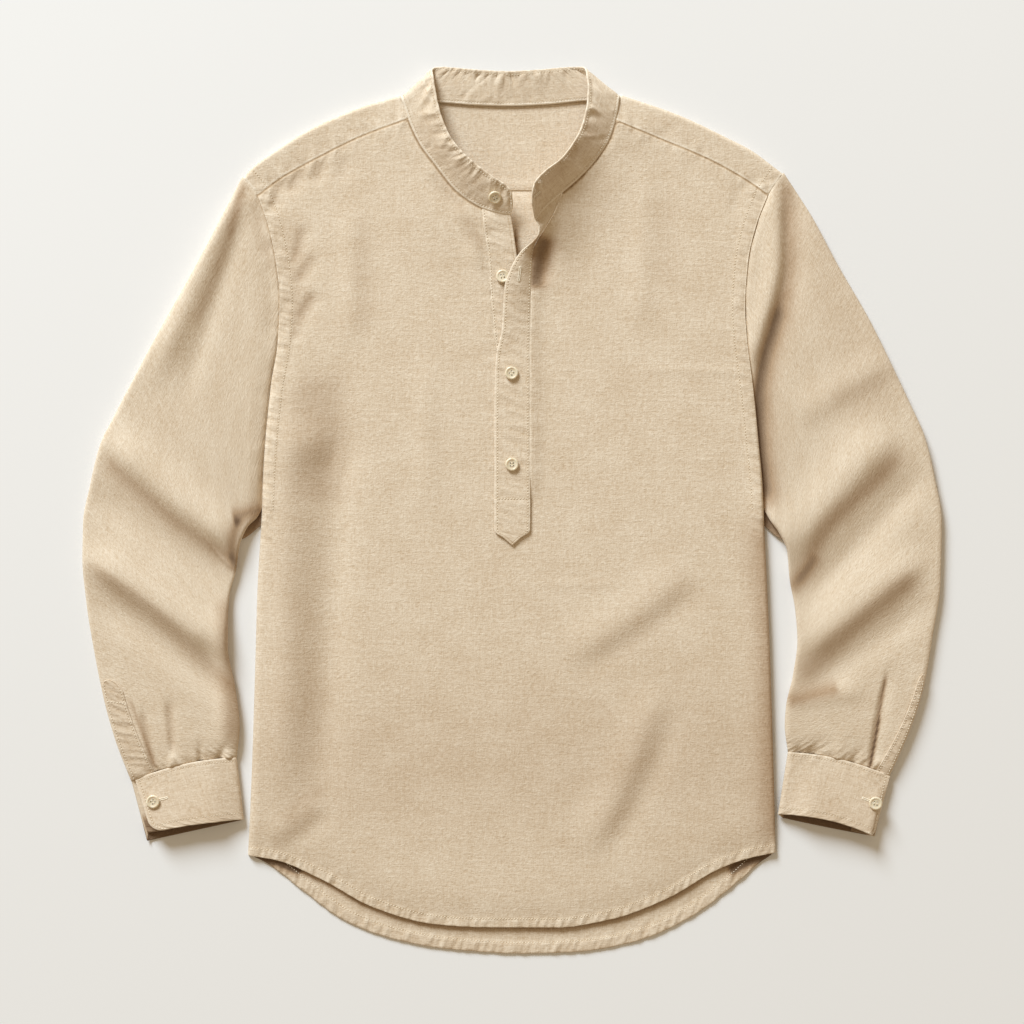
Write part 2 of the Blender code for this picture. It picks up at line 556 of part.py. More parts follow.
def make_front(linen):
    rows, slot_row = front_rows()
    first = len(HALF_COLUMNS) - 1
    last = first + MIDDLE_COLUMNS

    def in_slot(row, column):
        return row >= slot_row and first <= column < last

    return wall("front", rows, linen, CLOTH, skip=in_slot)


# ---- back and yoke -------------------------------------------------------------------------------
BACK_SPREAD = 0.0012      # extra width of the back on each side at the yoke's seam
HEM_CORNER = 0.0100       # the side lines join the hem this far above its ends


def inset_line(points, shift):
    return [(x + shift, y) for x, y in points]


def make_back(linen):
    left = inset_line(LEFT_SIDE + LEFT_ARMHOLE[1:], BACK_INSET)
    right = inset_line(RIGHT_SIDE + RIGHT_ARMHOLE[1:], -BACK_INSET)
    hem = [tuple(point) for point in Path(BACK_HEM).cut(evenly(26))]
    top = YOKE_SEAM_Y - GAP
    outline = hem + [p for p in right if p[1] > hem[-1][1] + HEM_CORNER]
    outline += [(right[-1][0] + BACK_SPREAD, top), (left[-1][0] - BACK_SPREAD, top)]
    outline += [p for p in reversed(left) if p[1] > hem[0][1] + HEM_CORNER]
    return slab("back", outline, linen, CLOTH)


def yoke_column(base, fold, seam, seam_height):
    """One section of the yoke: along the surface, round the shoulder fold, to the front seam."""
    out = (fold - seam).normalized()
    turn = fold - out * SHOULDER_FOLD
    column = [Vector((*mix(base, turn, t), 0.0)) for t in (0.0, 0.5, 1.0)]
    for step in range(1, FOLD_STEPS):
        angle = math.pi * step / FOLD_STEPS
        reach = turn + out * SHOULDER_FOLD * math.sin(angle)
        column.append(Vector((*reach, SHOULDER_FOLD * (1 - math.cos(angle)))))
    for t in (0.0, 0.5, 1.0):
        place = mix(turn, seam, t)
        column.append(Vector((*place, mix(2 * SHOULDER_FOLD, seam_height, t))))
    return column


def make_yoke(linen):
    shares = evenly(8)
    columns = []
    left_seam, right_seam = shoulder_seams()
    for shoulder, seam, outer in ((LEFT_SHOULDER_FOLD, left_seam, shares),
                                  (RIGHT_SHOULDER_FOLD, right_seam, shares[::-1])):
        side = []
        for share in outer:
            fold = Path(shoulder).at(share)
            front = Path(seam).at(share)
            front = front + (fold - front).normalized() * GAP
            base = Vector((fold.x * YOKE_TAPER, YOKE_SEAM_Y))
            height = front_height(front.x, front.y, SIDE_ROLL)
            side.append(yoke_column(base, fold, front, height))
        columns.append(side)
    neck = []
    for share in evenly(8)[1:-1]:
        edge = Path(BACK_NECKLINE).at(share)
        base = Vector((edge.x, YOKE_SEAM_Y))
        column = [Vector((*mix(base, edge, t), 0.0)) for t in (0.0, 0.5, 1.0)]
        neck.append(column + [column[-1]] * (len(columns[0][0]) - len(column)))
    across = columns[0] + neck + columns[1]
    rows = [[column[r] for column in across] for r in range(len(across[0]))]
    first = len(columns[0]) - 1
    last = first + len(neck) + 1

    def over_neck(row, column):
        return row >= 2 and first <= column < last

    for row in rows:
        row.reverse()
    total = len(across) - 2
    return wall("yoke", rows, linen, CLOTH, skip=lambda r, c: over_neck(r, total - c))


# ---- sleeves -----------------------------------------------------------------------------------
EDGE_STEPS = [0.0, 0.0008, 0.0026, 0.0060]       # distances in from the inner edge
PLACKET_STEPS = [0.0, 0.0008, 0.0030, 0.0110, 0.0190]   # and from the outer edge
UNDER_STEPS = [0.0010, 0.0035]
STRIP_COLUMNS = (2, 4)    # first and last column of a sleeve that its placket lies on
STRIP_SHARE = 0.9         # wall of that placket as a share of the sleeve's


def sleeve_section(outer, inner, bend, top_height, under_points):
    """Closed loop of points round a sleeve at one station, from the outer edge over the top."""
    length = (inner - outer).length
    middle = [mix(PLACKET_STEPS[-1], length - EDGE_STEPS[-1], t)
              for t in evenly(SLEEVE_MIDDLE_CELLS)[1:-1]]
    stops = PLACKET_STEPS + middle + [length - step for step in reversed(EDGE_STEPS)]
    loop = []
    for stop in stops:
        share = stop / length
        place = mix(outer, inner, share) + bend(share)
        full = top_height(place, share)
        edge = 0.45 * full
        inset = min(stop, length - stop)
        loop.append(Vector((*place, mix(edge, full, rounded(inset, SLEEVE_ROLL)))))
    low = loop[-1].z
    under = [length - step for step in UNDER_STEPS]
    under += [length * (1 - t) for t in evenly(under_points)[1:-1]]
    under += [step for step in reversed(UNDER_STEPS)]
    for stop in under:
        share = stop / length
        inset = min(stop, length - stop)
        place = mix(outer, inner, share) + bend(share)
        edge = low if stop > length / 2 else loop[0].z
        height = edge * (1 - rounded(inset, UNDER_STEPS[-1]))
        loop.append(Vector((*place, height)))
    return loop


def sleeve_stations():
    """Shares of the sleeve's length, closer together in its middle."""
    return [s + SLEEVE_CROWDING * math.sin(math.tau * s) / math.tau
            for s in evenly(SLEEVE_STATIONS)]


def sleeve_rows(outer_line, inner_line, armhole, fold_table, cuff_bow, side):
    """Rows of the sleeve's outer face from the armhole to the cuff seam. Side is -1 or 1."""
    outer_path = Path(outer_line)
    inner_path = Path(inner_line)
    seam = Path([(x + side * SEAM, y) for x, y in armhole] + [outer_line[0]])
    start, end = seam.at(1.0), seam.at(0.0)
    rows = []
    for t in sleeve_stations():
        reach = max(0.0, 1 - t / 0.5) ** 2
        bow = cuff_bow * ease((t - 0.8) / 0.2)

        def bend(share):
            lift = Vector((0.0, bow * 4 * share * (1 - share)))
            return (seam.at(1 - share) - mix(start, end, share)) * reach + lift

        def top_height(place, share):
            free = max(SLEEVE_LOFT + folds(fold_table, place.x, place.y), SLEEVE_LEAST)
            seam_y = seam.at(1 - share).y
            sewn = max(edge_height.at(seam_y), SLEEVE_LEAST)
            cuff = ease((t - 0.93) / 0.07)
            near = 1 - ease(t / 0.14)
            return mix(mix(free, sewn, near), CUFF_LOFT, cuff)

        rows.append(sleeve_section(outer_path.at(t), inner_path.at(t), bend, top_height, 4))
    return rows


def make_sleeve(name, rows, linen, side):
    ordered = [row if side > 0 else row[::-1] for row in rows]
    return wall(name, ordered, linen, CLOTH, closed=True)


def make_sleeve_placket(name, rows, linen, side):
    """A strip that lies on the sleeve beside its outer edge, made from the sleeve's points."""
    lifted = []
    lift = GAP + CLOTH * STRIP_SHARE
    for share, row in zip(sleeve_stations(), rows):
        if share < SLIT_SHARE:
            continue
        strip = row[STRIP_COLUMNS[0]:STRIP_COLUMNS[1] + 1]
        lifted.append([point + Vector((0.0, 0.0, lift)) for point in strip])
    if side < 0:
        lifted = [row[::-1] for row in lifted]
    return wall(name, lifted, linen, CLOTH * STRIP_SHARE)


# ---- cuffs --------------------------------------------------------------------------------------
def cuff_section(upper, lower, lap_inset):
    """Open spiral of points: buttoned end, over the top, under, and back to the hidden end."""
    up_out, up_in = upper
    low_out, low_in = lower
    length = (up_in - up_out).length
    loop = []
    for stop in [lap_inset, 0.2 * length, 0.4 * length, 0.6 * length, 0.8 * length,
                 length - CUFF_ROLL, length - CUFF_ROLL_STEP, length]:
        share = stop / length
        fall = 1 - rounded(length - stop, CUFF_ROLL)
        loop.append(Vector((*mix(up_out, up_in, share), mix(CUFF_LOFT, CUFF_LOFT / 2, fall))))
    for stop in [length - CUFF_ROLL_STEP, length - CUFF_ROLL, 0.5 * length, CUFF_ROLL,
                 CUFF_ROLL_STEP]:
        share = stop / length
        inset = min(stop, length - stop)
        fall = 1 - rounded(inset, CUFF_ROLL)
        loop.append(Vector((*mix(low_out, low_in, share), fall * CUFF_LOFT / 2)))
    under = CUFF_LOFT - DOUBLE - GAP
    middle = mix(low_out, up_out, 0.5)
    loop.append(Vector((*middle, under / 2)))
    for stop in [CUFF_ROLL_STEP, CUFF_ROLL, CUFF_LAP]:
        share = stop / length
        fall = 1 - rounded(stop, CUFF_ROLL)
        loop.append(Vector((*mix(up_out, up_in, share), mix(under, under / 2, fall))))
    return loop


def make_cuff(name, plan, linen, side):
    corners = {key: Vector(value) for key, value in plan.items() if isinstance(value, tuple)}
    rows = []
    for t in evenly(CUFF_STATIONS):
        upper = [mix(corners["seam_" + end], corners["upper_" + end], t)
                 for end in ("outer", "inner")]
        lower = [mix(corners["seam_" + end], corners["lower_" + end], t)
                 for end in ("outer", "inner")]
        lap_inset = mix(*CUFF_END_INSETS, t)
        loop = cuff_section(upper, lower, lap_inset)
        bow = mix(plan["seam_bow"], plan["mouth_bow"], t)
        length = (upper[1] - upper[0]).length
        for point in loop:
            share = (point.xy - upper[0]).length / length
            point.y += bow * 4 * share * (1 - share) if share < 1 else 0.0
        rows.append(loop if side > 0 else loop[::-1])
    return wall(name, rows, linen, DOUBLE)


# ---- plackets ---------------------------------------------------------------------------------------
def make_under_placket(linen):
    rows = []
    for stitched, free, y, height in reversed(UNDER_PLACKET):
        rows.append([Vector((mix(stitched, free, u), y, height)) for u in evenly(3)])
    rows.append(beside_collar([mix(*UNDER_STATIONS, u) for u in evenly(3)]))
    return wall("placket_under", rows, linen, DOUBLE)


def make_over_placket(linen):
    rows = []
    for x0, y0, z0, x1, y1, z1, arch in reversed(OVER_PLACKET):
        row = []
        for u in evenly(4):
            height = mix(z0, z1, u) + arch * 4 * u * (1 - u)
            row.append(Vector((mix(x0, x1, u), mix(y0, y1, u), height)))
        rows.append(row)
    rows.append(beside_collar([mix(*reversed(OVER_STATIONS), u) for u in evenly(4)]))
    return wall("placket_over", rows, linen, DOUBLE)


# ---- buttons ------------------------------------------------------------------------------------------
def button_mesh():
    """A four-hole shirt button about the origin, its underside at Z = 0."""
    profile = [(0.0, 0.0), (BUTTON_RADIUS * 0.86, 0.0), (BUTTON_RADIUS, BUTTON_THICK * 0.40),
               (BUTTON_RADIUS * 0.94, BUTTON_THICK), (BUTTON_RADIUS * 0.74, BUTTON_THICK),
               (BUTTON_RADIUS * 0.58, BUTTON_THICK - BUTTON_DISH),
               (0.0, BUTTON_THICK - BUTTON_DISH)]
    bm = bmesh.new()
    rings = []
    for radius, height in profile:
        if radius == 0.0:
            rings.append([bm.verts.new((0.0, 0.0, height))])
            continue
        ring = []
        for i in range(BUTTON_SIDES):
            angle = math.tau * i / BUTTON_SIDES
            ring.append(bm.verts.new((radius * math.cos(angle), radius * math.sin(angle),
                                      height)))
        rings.append(ring)
    for low, high in zip(rings, rings[1:]):
        for i in range(BUTTON_SIDES):
            j = (i + 1) % BUTTON_SIDES
            if len(low) == 1:
                bm.faces.new((low[0], high[j], high[i]))
            elif len(high) == 1:
                bm.faces.new((low[i], low[j], high[0]))
            else:
                bm.faces.new((low[i], low[j], high[j], high[i]))
    return bm


def hole_cutter():
    """Four small pins that cut the holes of a button."""
    bm = bmesh.new()
    for i in range(4):
        angle = math.tau * (i + 0.5) / 4
        place = Matrix.Translation((HOLE_SPREAD * math.sqrt(2) * math.cos(angle),
                                    HOLE_SPREAD * math.sqrt(2) * math.sin(angle),
                                    BUTTON_THICK / 2))
        bmesh.ops.create_cone(bm, cap_ends=True, segments=HOLE_SIDES, radius1=HOLE_RADIUS,
                              radius2=HOLE_RADIUS, depth=BUTTON_THICK * 2, matrix=place)
    return bm


def make_button(name, place, normal, horn):
    obj = add_object(name, button_mesh(), horn)
    obj.rotation_mode = "QUATERNION"
    turn = Vector((0.0, 0.0, 1.0)).rotation_difference(normal)
    cutter = add_object(name + "_holes", hole_cutter(), horn)
    cutter.rotation_mode = "QUATERNION"
    for item in (obj, cutter):
        item.rotation_quaternion = turn
        item.location = place + normal * GAP
    cutter.hide_render = True
    cutter.display_type = "WIRE"
    cut = obj.modifiers.new("holes", "BOOLEAN")
    cut.operation = "DIFFERENCE"
    cut.solver = "EXACT"
    cut.object = cutter
    return obj


def make_buttons(horn):
    for name, x, y, height in LEVEL_BUTTONS:
        make_button(name, Vector((x, y, height)), Vector((0.0, 0.0, 1.0)), horn)
    centre = collar_point(COLLAR_BUTTON_STATION, COLLAR_BUTTON_RISE)
    along = (collar_point(COLLAR_BUTTON_STATION + 0.2, COLLAR_BUTTON_RISE) - centre)
    up = collar_point(COLLAR_BUTTON_STATION, COLLAR_BUTTON_RISE + 0.2) - centre
    normal = along.cross(up).normalized()
    if normal.z < 0:
        normal.negate()
    make_button("button_collar", centre + normal * GAP, normal, horn)


def main():
    clear_scene()
    linen = material("linen", (0.72, 0.58, 0.41), 0.9)
    horn = material("horn", (0.85, 0.76, 0.60), 0.35)
    make_back(linen)
    make_yoke(linen)
    make_front(linen)
    make_collar(linen)
    make_under_placket(linen)
    make_over_placket(linen)
    left = sleeve_rows(LEFT_SLEEVE_OUTER, LEFT_SLEEVE_INNER, LEFT_ARMHOLE,
                       LEFT_SLEEVE_FOLDS, LEFT_CUFF["seam_bow"], -1)
    right = sleeve_rows(RIGHT_SLEEVE_OUTER, RIGHT_SLEEVE_INNER, RIGHT_ARMHOLE,
                        RIGHT_SLEEVE_FOLDS, RIGHT_CUFF["seam_bow"], 1)
    make_sleeve("sleeve_left", left, linen, -1)
    make_sleeve("sleeve_right", right, linen, 1)
    make_sleeve_placket("sleeve_placket_left", left, linen, -1)
    make_sleeve_placket("sleeve_placket_right", right, linen, 1)
    make_cuff("cuff_left", LEFT_CUFF, linen, -1)
    make_cuff("cuff_right", RIGHT_CUFF, linen, 1)
    make_buttons(horn)


main()
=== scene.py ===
"""Looks of the band-collar linen shirt: thin cloth shells over the CAD solids, with their
creases, seams, stitches, buttonholes and buttons.

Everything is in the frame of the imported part: X to the right, Y towards the collar, Z up from
the floor. Sizes are in metres, but tables inside mm, fold_rows or line_rows are in millimetres.
Left and right are as seen in the photograph.
"""
import math

import bpy
import numpy as np
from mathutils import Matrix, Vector
from mathutils.bvhtree import BVHTree


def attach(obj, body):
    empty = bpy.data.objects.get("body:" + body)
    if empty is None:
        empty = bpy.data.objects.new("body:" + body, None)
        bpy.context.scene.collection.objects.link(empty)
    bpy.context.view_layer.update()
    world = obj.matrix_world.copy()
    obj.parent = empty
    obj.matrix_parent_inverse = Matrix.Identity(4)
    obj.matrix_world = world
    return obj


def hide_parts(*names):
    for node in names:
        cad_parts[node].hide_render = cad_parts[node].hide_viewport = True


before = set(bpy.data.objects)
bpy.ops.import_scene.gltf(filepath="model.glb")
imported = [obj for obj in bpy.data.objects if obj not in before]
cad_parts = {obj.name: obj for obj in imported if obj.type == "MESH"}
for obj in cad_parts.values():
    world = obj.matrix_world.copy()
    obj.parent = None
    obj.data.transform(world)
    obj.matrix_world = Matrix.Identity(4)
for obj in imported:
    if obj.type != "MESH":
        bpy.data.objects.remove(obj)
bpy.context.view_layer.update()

# ---- sizes in metres ----
CLOTH = 0.0009            # thickness of a single layer
DOUBLE = 0.0013           # of a placket or cuff
BAND = 0.0016             # of the collar band
STRIP = 0.0008            # of the strips at the sleeves' slits and the cloth in the armpits
SEAM = 0.0007             # gap in plan between a sleeve and the body
FRONT_LOFT = 0.0056       # height of the front's outer face
FRONT_LEAST = 0.0027      # the least height that its troughs leave
HEM_HEIGHT = 0.0038       # its height along the hem
SIDE_ROLL = 0.0060        # width of the front's rolled left edge
RIGHT_SIDE_ROLL = 0.0030  # and of its right edge
RIGHT_EDGE_LIFT = 0.0022  # how much higher the right edge stands
EDGE_LIFT_END = 0.050     # how far below the armhole it stands that much higher
BACK_INSET = 0.0018       # how far the back's sides lie inside the front's
SLOT_FOOT_Y = 0.0043      # lower end of the front's slot
YOKE_SEAM_Y = 0.2752      # seam between the back and the yoke
YOKE_TAPER = 0.953        # width of the yoke at that seam, to its width at the shoulder folds
SHOULDER_FOLD = 0.0032    # radius of the fold along each shoulder
SLEEVE_LOFT = 0.0074      # height of a sleeve's outer face
SLEEVE_LEAST = 0.0032     # the least height that its troughs leave
SLEEVE_FLOOR = 0.0022     # and the least with its creases
SLEEVE_ROLL = 0.0050      # width of its rolled edges
SLEEVE_EDGE = 0.70        # height of those edges, to the height inside them
CUFF_LOFT = 0.0064
CUFF_ROLL = 0.0040
CUFF_LAP = 0.0200         # how far a cuff's hidden end runs under its buttoned end
BUTTON_RADIUS = 0.0057
BUTTON_THICK = 0.0024
COLLAR_GAP = 0.0004       # from the collar's seam to the cloth beside it, in plan
COLLAR_STEP = 0.0006      # and downwards
HOLD_REACH = 0.0080       # how far from them the collar and placket hold the front's height
HOLD_BLEND = 0.0050       # how softly one held point gives way to the next
HEM_BAND = 0.0070         # width of the front's hem
BACK_BAND = 0.0086        # of the back's hem
ARM_BAND = 0.0103         # of the seam bands along the armholes
PLAIN_EDGE = 0.0004       # puckers reach full strength this far from a seam without a band


# ---- outlines and other tables ----
def mm(rows):
    """Rows of millimetres, in metres."""
    return [tuple(value / 1000 for value in row) for row in rows]


def fold_rows(rows):
    """Folds, whose last column is a plain number."""
    return [(*values, row[-1]) for values, row in zip(mm([row[:-1] for row in rows]), rows)]


def line_rows(rows, scale=1.0):
    """Lines by their size, half widths to the left and right seen from the first point, and
    points. The size is a plain number unless a scale is given."""
    return [(mm(points), size * scale, left / 1000, right / 1000)
            for size, left, right, *points in rows]


# lines in plan: x and y of each point
LEFT_ARMHOLE = mm([(-215, 0), (-214, 25), (-211.8, 59.3), (-209, 88), (-206.2, 112),
    (-201.2, 140.2), (-198.7, 178), (-202.1, 213.3), (-209, 245.1), (-217.9, 270.5)])
RIGHT_ARMHOLE = mm([(216.4, 0), (215, 25), (211.8, 56), (208.5, 88), (205.5, 112.7), (201, 147.9),
    (199.5, 173.7), (202.1, 213.3), (209.4, 245.1), (219.3, 270.9)])
LEFT_SIDE = mm([(-227, -296.3), (-224, -230), (-222.3, -180.6), (-220.6, -124.7), (-219, -70),
    (-216.7, -28.4), (-215, 0)])
RIGHT_SIDE = mm([(226.6, -293.8), (225, -230), (223.6, -180.6), (221.5, -116.1), (219.2, -63.6),
    (217.6, -28.4), (216.4, 0)])
FRONT_HEM = mm([(-227, -296.3), (-202.1, -300.5), (-164.3, -316.5), (-117.8, -341.4),
    (-67.4, -355.2), (-23.7, -358), (38.7, -358.2), (86, -350.9), (132.4, -333.7), (179.7, -307),
    (204.7, -298.4), (226.6, -293.8)])
BACK_HEM = mm([(-223.5, -296.3), (-210, -303), (-180, -325.9), (-142.8, -352.6), (-101.8, -368.1),
    (-55, -376.7), (7.7, -380.7), (54.2, -379.3), (101.5, -371.5), (147.9, -352.6),
    (195.2, -318.2), (212, -303), (223.5, -295)])
LEFT_SHOULDER_FOLD = mm([(-230.5, 285.5), (-221, 295.8), (-201.2, 310), (-172, 327.7),
    (-132.4, 344.9), (-96, 356)])
RIGHT_SHOULDER_FOLD = mm([(232.2, 289), (223.2, 295.8), (206, 308.5), (187.5, 318.2),
    (141.9, 339.7), (92.9, 356.6)])
LEFT_SHOULDER_SEAM = mm([(-217.9, 270.5), (-199.5, 284.7), (-172, 300.1), (-132.4, 319.9)])
RIGHT_SHOULDER_SEAM = mm([(219.3, 270.9), (203.8, 282.1), (172, 300.1), (132.4, 316.9)])
BACK_NECKLINE = mm([(-92.5, 352), (-65.4, 351.5), (-2.6, 347), (64.5, 353), (91.5, 352)])
LEFT_SLOT = mm([(-12.5, 4.3), (-12.5, 120), (-16, 154.8), (-19.1, 190.1), (-20.6, 218.4),
    (-23.7, 239.1)])
RIGHT_SLOT = mm([(15.6, 4.3), (15.8, 130), (16.5, 184), (17.2, 203.5), (18.2, 218), (19.2, 223.8),
    (20.9, 228.2), (23.5, 233.2), (26.7, 238.1), (30.5, 243.7), (34.8, 250.7), (39.2, 259.7)])
# rows of COLLAR, and places between them, at which the front and plackets meet its seam
LEFT_NECK_STATIONS = [8.4, 8.0, 7.0, 6.0, 5.0, 4.0, 3.0]
RIGHT_NECK_STATIONS = [23.8, 24.5, 25.0, 26.0, 27.0, 27.96]
NECK_CENTRE = np.array((0.0, 0.3100))
LEFT_SLEEVE_OUTER = mm([(-231.8, 285.8), (-250.5, 248.5), (-270, 211.6), (-300.1, 158.2),
    (-319.9, 122.1), (-343.1, 77.4), (-353.5, 55.9), (-362.4, 20.6), (-368.1, -10.3),
    (-368.5, -42.1), (-365.1, -80.8), (-359.5, -116.1), (-350, -163.4), (-340.6, -196.9),
    (-327.1, -232.5)])
LEFT_SLEEVE_INNER = mm([(-215.4, 0), (-219, -6.5), (-227, -15), (-234, -32), (-237, -52.5),
    (-242.5, -74), (-243.6, -94.6), (-243.5, -118), (-237.5, -151.4), (-233.5, -186),
    (-236.3, -212.4)])
RIGHT_SLEEVE_OUTER = mm([(233.5, 289.3), (256.8, 252.8), (280.4, 209), (306.2, 164.3),
    (329.8, 116.5), (342, 90.6), (354.3, 62.8), (362.9, 27.5), (368.9, -10.3), (367.8, -63.6),
    (361.2, -107.5), (354.3, -147.9), (348.3, -170), (339.7, -193.5), (324.3, -228.2)])
RIGHT_SLEEVE_INNER = mm([(216.8, 0), (221.5, -9), (229, -20), (236, -35.3), (238.4, -60),
    (243, -86), (244.8, -112), (241, -142), (235, -169), (234, -185), (236.8, -207.8)])
# x, y, z of the collar's seam and of its top edge, from the button end round the back of the neck
# to the buttonhole end
COLLAR = mm([
    (-1.2, 253.4, 9.6, 0.3, 262.8, 13.5),
    (-6.2, 253.7, 9.6, -1.2, 271.2, 17.8),
    (-13.8, 255.2, 9.5, -6, 276.6, 19.2),
    (-25.5, 259, 9.2, -15, 282.5, 19.8),
    (-33.5, 263.2, 9.2, -22.5, 287.8, 19.8),
    (-47, 273.2, 9.2, -32, 295, 19.5),
    (-65, 295.4, 8.8, -44.7, 307, 18.5),
    (-78, 313, 8.4, -55.5, 322.5, 16.8),
    (-86.8, 331, 8.2, -62.8, 342.5, 14.8),
    (-90.6, 342, 8.6, -66.5, 361, 12.6),
    (-93.2, 350, 8.8, -68.2, 372, 10.8),
    (-95, 354.6, 6.6, -69.2, 377, 7.8),
    (-94, 354.8, 3.4, -68, 379.4, 4.2),
    (-88, 353, 1.7, -60, 380, 2.4),
    (-60, 350.8, 1.6, -42, 378.6, 3),
    (-30, 348.6, 1.6, -22, 376.8, 4.2),
    (-2.6, 347.8, 1.6, -2.6, 376, 4.6),
    (30, 349.2, 1.6, 22, 377.2, 4.2),
    (60, 352.2, 1.6, 40, 379, 3),
    (85, 353.8, 1.7, 56, 380.2, 2.4),
    (90.8, 355.2, 3.4, 62.8, 379.8, 4.6),
    (92.2, 355.2, 6.6, 64, 377.5, 8.6),
    (91.2, 351, 9, 64.8, 371.5, 12.8),
    (90.2, 343, 9.2, 65.8, 362, 16),
    (87.8, 332, 9.2, 65, 348, 18.8),
    (83.2, 318, 9.4, 61, 329, 22.2),
    (71.6, 300, 10.2, 53, 312, 25.8),
    (57.8, 284.8, 11.4, 41.5, 297, 29),
    (42.8, 271.6, 12.8, 28, 286.2, 32),
    (30, 259.8, 14.6, 20, 276.5, 34),
    (24, 252.8, 15.8, 18.2, 269, 33.6),
    (20.6, 248, 16.6, 18, 260, 29),
])
# the stations at which the plackets' edges meet the collar
UNDER_STATIONS = (2.96, 0.10)
OVER_STATIONS = (28.03, 31.0)
# x of the stitched edge, x of the free edge, y, z
UNDER_PLACKET = mm([
    (-23.2, 0.6, 239.1, 7.8),
    (-20.8, 2.6, 224.5, 7.2),
    (-19.4, 4.6, 210, 6.6),
    (-18.4, 6, 190.1, 6),
    (-15.4, 9, 154.8, 5.6),
    (-11.9, 12, 120, 5.6),
    (-11.9, 12.6, 60, 5.6),
    (-11.9, 12.6, 6, 5.6),
])
# x, y, z of the free edge, x, y, z of the stitched edge, height of the arch between them
OVER_PLACKET = mm([
    (22.1, 243.5, 16.4, 38.4, 260, 11.6, 0.6),
    (23.2, 239.9, 16.6, 34.2, 251, 10.8, 0.8),
    (23, 236, 16.6, 30, 244, 10.2, 1),
    (21.6, 232.2, 16.4, 26.2, 238.4, 9.7, 1.2),
    (18.8, 228.9, 16, 23, 233.5, 9.3, 1.2),
    (14.6, 225.4, 15.5, 20.4, 228.5, 9, 1.4),
    (9.3, 221.9, 15, 18.8, 224, 8.8, 1.8),
    (4.3, 215.9, 14.4, 17.8, 218, 8.6, 2.2),
    (0.9, 209.8, 13.8, 17.2, 211.5, 8.5, 2.4),
    (-2.6, 202.1, 13, 16.8, 203.5, 8.3, 2.4),
    (-5.5, 193.5, 12, 16.4, 194, 8, 2.2),
    (-6.5, 184, 11, 16.1, 184, 7.8, 1.8),
    (-8.2, 154.8, 8.6, 15.4, 154.8, 7.6, 0.6),
    (-13.2, 129.9, 7.6, 15.2, 129.9, 7.6, 0),
    (-14.4, 92, 7.6, 15.2, 92, 7.6, 0),
    (-14.4, 50, 7.6, 15.2, 50, 7.6, 0),
    (-14.4, 9.7, 7.8, 15.2, 9.7, 7.8, 0),
    (-14.6, -16.8, 7.8, 15, -16.8, 7.8, 0),
    (-6.8, -23.4, 7.8, 7.2, -23.4, 7.8, 0),
    (0, -29.4, 7.8, 0.6, -29.4, 7.8, 0),
])
# y, and height of the front's side edges there
EDGE_HEIGHT = mm([(-300, 0.6), (-10, 0.6), (5, 1.4), (25, 3.2), (50, 4.5), (90, 5.4), (150, 6),
    (290, 6.2)])
# cuffs, in metres: plan corners of the seam and of the mouth's upper and lower edges, how far
# these lines bow, how far in the buttoned end lies at the seam and at the mouth, and the radius of
# its corner
LEFT_CUFF = {
    "seam_outer": (-0.3270, -0.2331), "seam_inner": (-0.2363, -0.2130),
    "upper_outer": (-0.3132, -0.2765), "upper_inner": (-0.2303, -0.2650),
    "lower_outer": (-0.3138, -0.2838), "lower_inner": (-0.2335, -0.2662),
    "seam_bow": 0.0045, "upper_bow": 0.0022, "lower_bow": 0.0, "inset": (0.0044, 0.0052),
    "radius": 0.0100,
}
RIGHT_CUFF = {
    "seam_outer": (0.3242, -0.2288), "seam_inner": (0.2368, -0.2084),
    "upper_outer": (0.3112, -0.2790), "upper_inner": (0.2284, -0.2606),
    "lower_outer": (0.3118, -0.2800), "lower_inner": (0.2330, -0.2640),
    "seam_bow": 0.0045, "upper_bow": 0.0052, "lower_bow": -0.0005, "inset": (0.0004, 0.0004),
    "radius": 0.0040,
}
# places of the buttons in plan, in metres
BUTTONS = [
    ("button_front_2", -0.0080, 0.2004),
    ("button_front_3", -0.0003, 0.1173),
    ("button_front_4", 0.0000, 0.0390),
    ("button_cuff_left", -0.3073, -0.2497),
    ("button_cuff_right", 0.3112, -0.2511),
]


# ---- folds and creases ----
# columns: x and y of one end, x and y of the other, sideways bow, height (a trough is negative),
# half width, and skew (above 1 the side to the right of the line, seen from its first end, is the
# steeper one)
FRONT_FOLDS = fold_rows([
    (-192.5, 124.7, -194.5, -240.8, 0, 4.9, 19, 1),
    (-147.9, 100, -164, -232.2, 0, -2.9, 16.5, 1),
    (-206.4, -282.1, -166.8, -249.4, 0, 1, 10, 1),
    (-193, -290, -154, -260, 0, -0.6, 8, 1),
    (49.9, -122.1, 146.2, -55.9, 6, 2.1, 17.5, 1.2),
    (67.1, -133.3, 161.7, -68.8, 0, -0.9, 11, 1),
    (68.8, -285.5, 120.4, -163.4, 4, 2.5, 15, 1.2),
    (86, -289, 140.2, -176.3, 4, -0.9, 11, 1),
    (33, 247.7, 23.8, 196.1, 0, -4.8, 8.5, 1),
    (214, 30, 220, -270, 0, 1.8, 14, 1),
    (-49, 264, -20.6, 202.1, 0, 2.8, 8.5, 1.4),
    (-65.4, 283.8, -36.1, 223.6, 0, -1.4, 7, 1),
    (-139.3, 253.7, -137.6, 150.5, 0, 1.2, 10, 1),
    (114.4, 288.1, 110.1, 163.4, 0, 1.2, 11, 1),
    (-74.8, 120.4, -72.2, 8.6, 0, 0.9, 11, 1),
])
